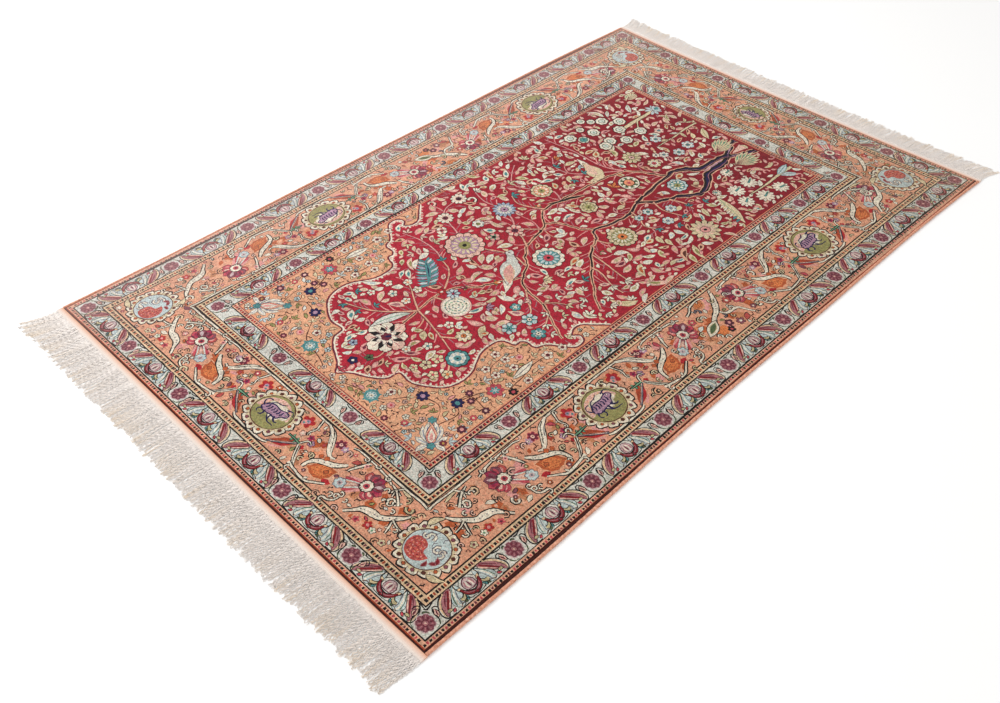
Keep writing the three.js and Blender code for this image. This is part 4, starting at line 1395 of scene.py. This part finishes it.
# Spandrels: below the arch, a tall closed lotus in each corner, spiky teal and indigo flowers,
# and small buds on brown vines, the same on both sides.
def spandrel(pen):
    """The right-hand spandrel, with x from the field's middle line."""
    for route in (
        (198+268j, 176+300j, 150+300j, 128+285j, 100+250j, 79+242j),
        (198+268j, 206+310j, 188+326j, 196+360j, 211+387j, 226+405j),
        (211+387j, 190+400j, 170+420j, 168+447j), (226+405j, 222+440j, 215+470j, 217+504j),
        (79+242j, 50+236j, 20+226j), (188+326j, 186+344j, 200+352j, 231+346j),
    ):
        pen.line(route, 1.7, "brown", step=8)
    tall_lotus(pen.to(221, 239, 0.25 * np.pi), 58)
    for x, y, way in ((168, 238, 2.6), (232, 292, 1.2), (190, 226, 3.4), (236, 262, 0.9)):
        leafy(pen.to(x, y, way), 13, "ice", "grey", 3)
    wheel(pen.to(79, 242), 12, 8, "teal", "ice", "teal", "ivory", "teal")
    petals(pen.to(79, 242), 17, 7, "teal", None, 0.6, 0.4)
    for x, y, r, dye, heart in (
        (138, 298, 11, "indigo", "lilac"), (188, 326, 11, "indigo", "teal"), (211, 387, 15, "rose", "ice"),
        (234, 405, 8, "black", "rose"), (186, 354, 7, "plum", "pink"), (200, 344, 7, "plum", "pink"),
        (231, 346, 7, "plum", "blush"), (232, 293, 8, "plum", "pink"), (130, 225, 6, "wine", "pink"),
        (187, 468, 7, "pink", "rose"), (117, 250, 7, "pink", "rose"), (232, 254, 6, "wine", "gold"),
        (228, 322, 6, "rose", "cream"), (160, 240, 6, "rose", "cream"),
    ):
        pen.to(x, y).fill(scalloped(r, 7, 0.3, 4), dye, "brown", 0.5)
        pen.to(x, y).fill(disc(r * 0.4, 7), heart)
    petals(pen.to(211, 387), 9, 6, "teal", None, 0.2, 0.9)
    for x, y, r in (
        (217, 504, 10), (154, 445, 8), (174, 448, 8), (197, 445, 8), (167, 410, 8), (188, 412, 8),
        (96, 269, 8), (234, 440, 8), (222, 535, 8),
    ):
        bloom(pen.to(x, y), r, 5, "ivory", "blush", "wine", "brown")
    for x, y, way, size, dye in (
        (184, 389, 1.2, 15, "sage"), (121, 279, 0.7, 12, "cream"), (131, 263, -0.6, 12, "cream"),
        (150, 262, 1.2, 12, "olive"), (222, 280, 1.9, 12, "sage"), (176, 285, 2.3, 11, "olive"),
        (60, 230, 0.4, 11, "olive"), (95, 228, 0.2, 11, "cream"), (38, 242, 2.0, 11, "cream"),
        (215, 300, 0.5, 11, "olive"), (150, 320, 1.0, 11, "cream"), (170, 365, 1.9, 12, "olive"),
        (232, 370, 1.5, 11, "cream"), (205, 425, 1.7, 12, "olive"), (180, 430, 2.6, 10, "cream"),
        (150, 465, 2.2, 10, "olive"), (200, 485, 1.4, 12, "cream"), (228, 470, 1.2, 12, "sage"),
        (232, 515, 1.6, 12, "olive"), (206, 512, 2.8, 10, "cream"),
    ):
        leafy(pen.to(x, y, way), size, dye, "brown", 3)
    feather(pen.at(214+425j, 1j), 52, 14, "ivory", "grey", "black", 0.1)


spandrel(sheet.at(CENTRE))
spandrel(sheet.at(CENTRE, -1, True))
for x, y, size in ((460, 226, 5), (436, 228, 4), (484, 228, 4)):
    bloom(sheet.to(x, y), size, 5, "ivory", "rose", "teal", "brown")

# Spandrels: the ground between. Thin brown tendrils and small pale flowers and leaves are set
# wherever the apricot is still bare.
rng = np.random.default_rng(8)
apricot = Ground(FIELD_LOW * (1+1j), SPANDREL_HIGH, ("apricot",))
FLOWER_DYES = ("ivory", "ivory", "blush", "ice")
SMALL_LEAF_DYES = ("cream", "olive", "sand", "sage", "khaki", "pink")
for size, spacing in ((14, 9), (10, 8), (8, 6)):
    for spot in apricot.seeds(spacing, rng):
        pen = sheet.at(spot, facing(2 * np.pi * rng.random()))
        if not apricot.take(pen, size, size * 0.55, 0.5, 0.9):
            continue
        kind = rng.random()
        if kind < 0.4:
            pen.line((0, size * (0.4+0.25j), size * 0.9), 1.5, "brown", step=5)
            pen.at(size * 0.9, 1j).fill(leaf(4.5, 2.6, 0, 0.5, 2), "black")
        elif kind < 0.62:
            dye = FLOWER_DYES[rng.integers(len(FLOWER_DYES))]
            petals(pen.at(size * 0.45), size * 0.42, 5, dye, "black", 0.1, 1.0, 0.3, 0.62, 0.7)
        else:
            shape = leaf(size, size * 0.42, rng.uniform(-0.6, 0.6), 0.5, 3)
            pen.fill(shape, SMALL_LEAF_DYES[rng.integers(len(SMALL_LEAF_DYES))], "brown", 0.8)

# Pile: the weaving. Every edge of the drawing is woven into one mesh, so that each dye ends at a
# crisp line. It is kept in four lengthwise breadths, and each is closed below by a flat back. The
# real borders aren't all of one width, so the drawing is stretched a little between field and rim.
WEAVE_ACROSS = ((0, FIELD_LOW, FIELD_HIGH.real, PILE_WIDTH), (0, 205, 690, PILE_WIDTH))
WEAVE_ALONG = ((0, FIELD_LOW, FIELD_HIGH.imag, PILE_LENGTH), (0, 219, 1270, PILE_LENGTH))
BREADTHS = ((0, FIELD_LOW), (FIELD_LOW, CENTRE), (CENTRE, FIELD_HIGH.real), (FIELD_HIGH.real, PILE_WIDTH))
GRID = 16.0
WOBBLE = 0.42
CREASE = 50
FOLD_Y = PILE_LENGTH / 2
BACK_DYE = (205, 160, 140)


def on_the_floor(z):
    """Where a point of the drawing lies, in metres from the rug's origin."""
    x = np.interp(z.real, *WEAVE_ACROSS) - PILE_WIDTH / 2
    y = np.interp(z.imag, *WEAVE_ALONG) - PILE_LENGTH / 2
    return np.stack((*lie(x, y), pile_top(x, y)), axis=-1) * MM


def linear(colour):
    """A seen colour, 0 to 255, as the light that it sends back."""
    c = np.asarray(colour) / 255
    return np.where(c <= 0.04045, c / 12.92, ((c + 0.055) / 1.055) ** 2.4)


def by_hand(z):
    """A point of the drawing as the weaver meets it, off by a sine each way."""
    return z + WOBBLE * (np.sin(1.9 * z.imag + 0.7 * z.real) + 1j * np.sin(2.3 * z.real - 0.5 * z.imag))


def weave(low, high):
    """The breadth of the drawing between two values of x: its points, triangles and their dyes.
    Its rim, a line across its middle, an even grid of points and the edges of every figure are
    joined by a constrained Delaunay mesh, and each triangle takes the topmost figure's dye."""
    y = np.linspace(0, PILE_LENGTH, 2 * round(PILE_LENGTH / GRID / 2) + 1)
    x = np.linspace(low, high, round((high - low) / GRID) + 1)
    rim = np.concatenate((x + 0j, high + 1j * y[1:], x[-2::-1] + 1j * PILE_LENGTH, low + 1j * y[-2:0:-1]))
    inner_x, inner_y = np.meshgrid(x[1:-1], y[1:-1])
    middle = len(y) // 2
    points = [rim, (inner_x + 1j * inner_y).ravel()]
    edges = [np.stack((np.arange(len(rim)), np.roll(np.arange(len(rim)), -1)), axis=1)]
    edges.append(np.array([[len(x) - 1 + middle, len(rim) - middle]]))
    outlines, dyes = [], []
    count = len(rim) + inner_x.size
    for shape, parts, dye in drawing:
        if shape.real.max() <= low or shape.real.min() >= high:
            continue
        shape = by_hand(shape)
        points.append(shape)
        for part in parts:
            part = np.array(part)
            edges.append(count + np.stack((part, np.roll(part, -1)), axis=1))
            outlines.append(shape[part])
            dyes.append(SHADES.index(dye))
        count += len(shape)
    points = np.concatenate(points)
    flat = [Vector((z.real, z.imag)) for z in points]
    woven = geometry.delaunay_2d_cdt(flat, np.concatenate(edges).tolist(), [], 0, 1e-4, False)
    places = np.array([p[:] for p in woven[0]])
    places = places[:, 0] + 1j * places[:, 1]
    corners = np.array(woven[2])
    spots = places[corners].mean(axis=1)
    inside = (abs(spots.real - (low + high) / 2) < (high - low) / 2) & (abs(spots.imag - FOLD_Y) < FOLD_Y)
    return places, corners[inside], np.array(dyes)[topmost(spots[inside], outlines)]


def closed_below(top, corners):
    """Adds walls and a flat back to a sheet of triangles. A wall stands below each edge that only
    one triangle has, and the back fans out from its middle to the walls' feet. Returns all
    points, the walls' triangles, the back's triangles and the loop of the edges."""
    ways = np.concatenate((corners[:, [0, 1]], corners[:, [1, 2]], corners[:, [2, 0]])).astype(np.int64)
    key = ways.min(axis=1) * len(top) + ways.max(axis=1)
    _, first, times = np.unique(key, return_index=True, return_counts=True)
    after = dict(ways[first[times == 1]].tolist())
    loop = [next(iter(after))]
    while after[loop[-1]] != loop[0]:
        loop.append(after[loop[-1]])
    feet = top[loop] * (1, 1, 0)
    a = np.array(loop)
    b = np.roll(a, -1)
    foot = len(top) + np.arange(len(a))
    next_foot = np.roll(foot, -1)
    walls = np.concatenate((np.stack((a, foot, next_foot), axis=1), np.stack((a, next_foot, b), axis=1)))
    middle = feet.mean(axis=0)
    back = np.stack((np.full(len(a), len(top) + len(a)), next_foot, foot), axis=1)
    return np.concatenate((top, feet, [middle])), walls, back, a


def bake_map(z, top_count, faces_top, faces_wall, faces_back, low, high):
    """Flat places for the corners of a breadth: its near half on the left, its far half on the
    right, and below them its back and its walls as narrow strips."""
    across = (z.real - low) / (high - low)
    along = z.imag / PILE_LENGTH
    spot = z[faces_top].mean(axis=1)
    far = (spot.imag > FOLD_Y)[:, None]
    u = np.where(far, 0.505, 0.005) + 0.49 * across[faces_top]
    v = 0.06 + 0.935 * (2 * along[faces_top] - far)
    back_u = 0.005 + 0.99 * along[faces_back]
    back_v = 0.03 + 0.02 * across[faces_back]
    share = np.zeros(len(z))
    share[top_count:] = np.linspace(0.005, 0.98, len(z) - top_count)
    share = share[faces_wall]
    wall_u = np.maximum(share, share.max(axis=1)[:, None] - 0.001)
    wall_v = np.where(faces_wall >= top_count, 0.005, 0.02)
    return np.concatenate([
        np.stack((a, b), axis=-1).reshape(-1, 2) for a, b in ((u, v), (wall_u, wall_v), (back_u, back_v))
    ])


def pile_breadth(name, low, high, look):
    """One woven breadth as a closed mesh that holds each triangle's dye at its corners. A wall
    takes the dye of the triangle above it, and the back has its own."""
    places, corners, shades = weave(low, high)
    used, index = np.unique(corners, return_inverse=True)
    corners = index.reshape(-1, 3)
    places = places[used]
    points, walls, back, loop = closed_below(on_the_floor(places), corners)
    places = np.concatenate((places, places[loop], [places[loop].mean()]))
    piece = mesh_object(name, points.tolist(), np.concatenate((corners, walls, back)).tolist())
    piece.data.shade_smooth()
    smooth_face = np.ones(len(corners) + len(walls) + len(back), bool)
    smooth_face[len(corners):] = False
    piece.data.polygons.foreach_set("use_smooth", smooth_face)
    table = np.array([linear(DYES[s]) for s in SHADES] + [linear(BACK_DYE)])
    owner = {}
    for side in ([0, 1], [1, 2], [2, 0]):
        owner.update(zip(map(tuple, corners[:, side]), shades))
    wall_shades = [owner[a, b] for a, b in zip(loop, np.roll(loop, -1))]
    all_shades = np.concatenate((shades, wall_shades, wall_shades, np.full(len(back), len(SHADES))))
    colours = np.ones((len(all_shades), 3, 4), np.float32)
    colours[:, :, :3] = table[all_shades][:, None]
    dye = piece.data.color_attributes.new("dye", "FLOAT_COLOR", "CORNER")
    dye.data.foreach_set("color", colours.ravel())
    piece.data.set_sharp_from_angle(angle=math.radians(CREASE))
    flat_map = piece.data.uv_layers.new(name="OFBake")
    uv = bake_map(places, len(places) - len(loop) - 1, corners, walls, back, low, high)
    flat_map.data.foreach_set("uv", uv.astype(np.float32).ravel())
    piece.data.materials.append(look)
    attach(piece, "root")
    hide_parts("rug_pile")
    return piece


# The silk: each knot is a touch lighter, darker or redder, and the dye changes a little from row
# to row of knots. Large soft patches are painted lighter and darker as painted sheen. Painted sheen
# also makes the pile pale on the left and deep on the right, and a painted haze of sheen lies pale
# over the left side and the far end, where the pile is seen against its lie.
silk = Nodes("silk_pile", Roughness=0.7, Specular_IOR_Level=0.16, Sheen_Weight=0.1, Sheen_Roughness=0.4)
dyed = silk.add("Attribute", {"attribute_name": "dye"}).outputs["Color"]
deep = silk.add("Gamma", Color=dyed, Gamma=1.06).outputs[0]
place = silk.add("TexCoord").outputs["Object"]
KNOTS_A_METRE = 600.0
knots = silk.add("TexVoronoi", Vector=place, Scale=KNOTS_A_METRE).outputs["Color"]
channels = silk.add("SeparateColor", in0=knots).outputs
stretched = silk.add("Mapping", in0=place, in3=(2.0, 60.0, 1.0)).outputs[0]
rows = silk.add("TexNoise", Vector=stretched, Scale=1.0, Detail=5.0, Roughness=0.7).outputs["Fac"]
# Painted sheen: large soft patches of the silk painted lighter and darker.
painted_sheen_patches = silk.add("TexNoise", Vector=place, Scale=14.0, Detail=5.0, Roughness=0.65).outputs["Fac"]
shade = silk.math("MULTIPLY", channels[0], 0.6)
for source, weight in ((rows, 0.3), (painted_sheen_patches, 0.6)):
    shade = silk.math("ADD", shade, silk.math("MULTIPLY", source, weight))
shade = silk.math("ADD", shade, 0.07)
axes = silk.add("SeparateXYZ", Vector=place).outputs
across = silk.math("ADD", silk.math("DIVIDE", axes[0], PILE_WIDTH * MM), 0.5)
# Painted sheen: the colour is pale on the left and deeper and browner on the right.
lean = silk.ramp(across, (0.0, (1.0, 0.98, 0.96)), (0.3, (0.9, 0.86, 0.83)), (1.0, (0.78, 0.73, 0.67)))
redder = silk.ramp(channels[1], (0.0, (0.9, 1.0, 1.0)), (1.0, (1.06, 0.94, 0.92)))
shaded = deep
for tint in (lean, redder):
    mix = silk.add("Mix", {"data_type": "RGBA", "blend_type": "MULTIPLY"}, Factor=1.0, in6=shaded, in7=tint)
    shaded = mix.outputs[2]
shaded = silk.add("VectorMath", {"operation": "SCALE"}, in0=shaded, in3=shade).outputs[0]
along = silk.math("ADD", silk.math("DIVIDE", axes[1], PILE_LENGTH * MM), 0.5)
# Painted haze of sheen: a pale pink laid over the left side and a pale brown over the far end.
for way, painted_haze_colour, stops in (
    (across, (0.56, 0.4, 0.36, 1), ((0.0, 0.22), (0.12, 0.08), (0.26, 0.0))),
    (along, (0.5, 0.36, 0.22, 1), ((0.84, 0.0), (0.92, 0.06), (1.0, 0.1))),
):
    share = silk.ramp(way, *stops)
    shaded = silk.add("Mix", {"data_type": "RGBA"}, Factor=share, in6=shaded, in7=painted_haze_colour).outputs[2]
silk.join(shaded, "Base_Color")
KNOT_HEIGHT = 0.8 * MM
bumps = silk.add("Bump", Strength=0.35, Distance=KNOT_HEIGHT, Height=channels[0])
silk.join(bumps.outputs[0], "Normal")

for number, (low, high) in enumerate(BREADTHS):
    part = pile_breadth(f"pile_{number + 1}", low, high, silk.material)
    width = float(np.diff(np.interp((low, high), *WEAVE_ACROSS))[0])

# Selvedges. Down each long side the outer warps are bound over and over with salmon thread, so
# the edge is a round cord with a rib at every turn. It is sewn to the pile as it is woven.
SELVEDGE_WIDTH = 6
SELVEDGE_HEIGHT = 4.6
CLEARANCE = 0.3
TURN_PITCH = 2.8
RINGS_A_TURN = 3
SECTION = 7
LOWEST = 0.05


def tube_faces(rings, around):
    """Triangles of a tube of rings with this many points round each, with both ends closed."""
    i, j = np.meshgrid(np.arange(rings - 1), np.arange(around), indexing="ij")
    a, b = i * around + j, i * around + (j + 1) % around
    sides = np.stack((a, b, b + around, a, b + around, a + around), axis=-1).reshape(-1, 3)
    fan_out = np.arange(1, around - 1)
    near = np.stack((0 * fan_out, fan_out + 1, fan_out), axis=1)
    far = np.stack((0 * fan_out, fan_out, fan_out + 1), axis=1) + (rings - 1) * around
    return np.concatenate((sides, near, far))


def selvedge(name, side):
    """The section is an ellipse cut flat by the floor. Its size swells by a rectified sine at
    every turn of the thread and by a slow noise of three sines."""
    rings = round(PILE_LENGTH / TURN_PITCH * RINGS_A_TURN) + 1
    y = np.linspace(0, PILE_LENGTH, rings)[:, None]
    a = 2 * np.pi * np.arange(SECTION)[None] / SECTION
    rib = 0.9 + 0.1 * np.abs(np.sin(np.pi * (y / TURN_PITCH + 0.14 * np.cos(a))))
    uneven = 1 + 0.03 * np.sin(y / 7.3) + 0.03 * np.sin(y / 17.9 + 1) + 0.03 * np.sin(y / 3.1 + 2)
    size = rib * uneven / 1.06
    across = side * (PILE_WIDTH / 2 + CLEARANCE + SELVEDGE_WIDTH / 2)
    x, up = SELVEDGE_WIDTH / 2 * size * np.cos(a), SELVEDGE_HEIGHT / 2 * (1 + size * np.sin(a))
    px, py = lie(across + x, y - PILE_LENGTH / 2 + 0 * x)
    points = np.stack((px, py, np.maximum(up, LOWEST)), axis=-1).reshape(-1, 3) * MM
    piece = mesh_object(name, points.tolist(), tube_faces(rings, SECTION)[:, ::-1].tolist())
    piece.data.shade_smooth()
    return piece


thread = Nodes("salmon_thread", Roughness=0.8)
place = thread.add("TexCoord").outputs["Object"]
fuzz = thread.add("TexNoise", Vector=place, Scale=260.0, Detail=3.0).outputs["Fac"]
salmon = thread.ramp(fuzz, (0.3, (0.42, 0.16, 0.09)), (0.55, (0.66, 0.3, 0.19)), (0.8, (0.8, 0.46, 0.33)))
thread.join(salmon, "Base_Color")
for name, side in (("selvedge_left", -1), ("selvedge_right", 1)):
    cord = selvedge("cord_" + name, side)
    cord.data.materials.append(thread.material)
    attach(cord, "root")
    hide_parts(name)

# Flat-woven ends. Beyond the knots each end is woven flat for 12 mm, to hold the knots in. It is
# salmon at the knots and fades into the undyed cream of the warps.
STRIP_DEPTH = 12
STRIP_THICKNESS = 2.4
SALMON_DEPTH = 8.5
SALMON_DYE = (222, 166, 134)
WARP_DYE = (222, 208, 198)
STRIP_STEP = 2.0
WEFTS = 11
ROOT = PILE_LENGTH / 2 + CLEARANCE
STRIP_HALF = PILE_WIDTH / 2 + SELVEDGE_WIDTH


def dye_points(piece, dyes):
    """Gives each point of a piece its own dye."""
    colours = np.ones((len(piece.data.vertices), 4), np.float32)
    colours[:, :3] = dyes.reshape(-1, 3)
    dye = piece.data.color_attributes.new("dye", "FLOAT_COLOR", "POINT")
    dye.data.foreach_set("color", colours.ravel())


def woven_end(name, end):
    """A bar across the rug's end. The top of its section is a low arch of sines, ribbed by each
    weft, and its underside is flat."""
    columns = round(2 * STRIP_HALF / STRIP_STEP) + 1
    x = np.linspace(-STRIP_HALF, STRIP_HALF, columns)[:, None]
    out = np.linspace(0, STRIP_DEPTH, WEFTS)[None]
    rim = np.clip(np.minimum(out, STRIP_DEPTH - out) / 1.5, 0, 1)
    high = STRIP_THICKNESS * (0.72 + 0.2 * np.sin(np.pi / 2 * rim))
    high = high + 0.16 * np.cos(np.pi * np.arange(WEFTS)[None]) + 0.05 * np.sin(x * 1.9)
    out = np.concatenate((out, [[STRIP_DEPTH, 0]]), axis=1)
    high = np.concatenate((high, 0 * x, 0 * x), axis=1)
    px, py = lie(x + 0 * out, end * (ROOT + out) + 0 * x)
    points = np.stack((px, py, high), axis=-1).reshape(-1, 3) * MM
    faces = tube_faces(columns, WEFTS + 2)
    if end > 0:
        faces = faces[:, ::-1]
    piece = mesh_object(name, points.tolist(), faces.tolist())
    fade = np.tile(np.clip(out[0] / SALMON_DEPTH, 0, 1), columns)[:, None]
    dye_points(piece, linear(SALMON_DYE) * (1 - fade) + linear(WARP_DYE) * fade)
    return piece


# Fringes. The warp ends hang out beyond the flat weave as fine crimped silk threads, combed out
# in small locks. The near fringe is the longer, and the corners splay.
FRINGES = (  # node, end, length, unevenness, lean of the first and last thread, locks, rings, depth of painted shade
    ("fringe_near", -1, 68, 8, -16, -4, 150, 25, 0.28),
    ("fringe_far", 1, 54, 7, -16, 14, 125, 17, 0.08),
)
WARP_LIGHT = (255, 247, 241)
WARP_TIP = (253, 236, 216)
THREADS_A_LOCK = 6
THREAD_RADIUS = 0.8
CRIMPS = 46  # how far the crimp's sine turns over a thread, in radians
HIDDEN_ROOT = 1.5


def fringe_threads(name, end, length, uneven, lean_first, lean_last, locks, rings, shade):
    """Each thread starts in the strip and runs outwards. It leans with the sixth power of its
    distance from the middle, and waves with its lock and by itself, each wave a sine."""
    rng = np.random.default_rng(11 + end)
    count = locks * THREADS_A_LOCK
    lock = np.repeat(np.arange(locks), THREADS_A_LOCK)
    share = (np.arange(count) + 0.5) / count
    start = -STRIP_HALF + 2 * STRIP_HALF * share
    middle = -STRIP_HALF + 2 * STRIP_HALF * (lock + 0.5) / locks
    s = np.linspace(0, 1, rings)[None]
    reach = length - uneven * rng.random(locks)[lock] - 5 * rng.random(count) ** 3
    reach = reach[:, None]
    gather = (0.45 * rng.random(locks)[lock])[:, None] * np.sin(np.pi * 0.62 * s) ** 2
    lean = (lean_first * (1 - share) ** 6 + lean_last * share**6)[:, None] * s**2
    turn = (2 * np.pi * rng.random(locks))[lock][:, None]
    own = (2 * np.pi * rng.random(count))[:, None]
    wave = 1.5 * rng.random(locks)[lock][:, None] * np.sin(turn + 4.5 * s) * s
    begun = np.minimum(4 * s, 1)
    crimp = 1.2 * np.sin(own + CRIMPS * s) * begun + 1.2 * s * np.sin(own * 3 + 7 * s)
    x = start[:, None] + (middle - start)[:, None] * gather + lean + wave + crimp
    out = STRIP_DEPTH - HIDDEN_ROOT + (reach + HIDDEN_ROOT) * s
    layer = (0.6 + 1.9 * rng.random(count))[:, None]
    z = np.clip(layer * (1 - 0.35 * s) + 0.5 * np.sin(own * 2 + CRIMPS * s) * begun, 0.5, 3.6)
    px, py = lie(-end * x, end * (ROOT + out))
    spine = np.stack((px, py, z), axis=-1)
    around = 2 * np.pi * np.arange(3) / 3 + np.pi / 2
    thin = THREAD_RADIUS * (1 - 0.45 * s**3)[..., None]
    ring = np.stack((np.cos(around), 0 * around, np.sin(around)), axis=-1)
    points = spine[:, :, None, :] + ring[None, None] * thin[..., None]
    faces = tube_faces(rings, 3)
    if end > 0:
        faces = faces[:, ::-1]
    faces = (faces[None] + (np.arange(count) * rings * 3)[:, None, None]).reshape(-1, 3)
    piece = mesh_object(name, (points.reshape(-1, 3) * MM).tolist(), faces.tolist())
    piece.data.shade_smooth()
    # Each thread is a touch lighter or darker at random, and painted shade darkens it once at every turn of
    # its crimp; the last column of the table sets how deep both go.
    tone = 1 - shade * 0.3 * rng.random(count)[:, None]
    tone_and_painted_crimp_shade = tone * (1 - shade * (0.5 + 0.5 * np.sin(own + CRIMPS * s + 0.9)) ** 5)
    warm = (rng.random(locks)[lock][:, None] ** 2 * s**2)[..., None]
    mixed = linear(WARP_LIGHT) * (1 - warm) + linear(WARP_TIP) * warm
    dye_points(piece, np.repeat(mixed * tone_and_painted_crimp_shade[..., None], 3, axis=1))
    return piece


warp = Nodes("warp_silk", Roughness=0.6)
place = warp.add("TexCoord").outputs["Object"]
fuzz = warp.add("TexNoise", Vector=place, Scale=420.0, Detail=4.0, Roughness=0.7).outputs["Fac"]
spun = warp.add("Attribute", {"attribute_name": "dye"}).outputs["Color"]
fuzz = warp.math("ADD", warp.math("MULTIPLY", fuzz, 0.5), 0.75)
warp.join(warp.add("VectorMath", {"operation": "SCALE"}, in0=spun, in3=fuzz).outputs[0], "Base_Color")
for node, end, *shape in FRINGES:
    strip = woven_end("woven_" + node, end)
    threads = fringe_threads("threads_" + node, end, *shape)
    for piece in (strip, threads):
        piece.data.materials.append(warp.material)
        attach(piece, "root")
        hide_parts(node)
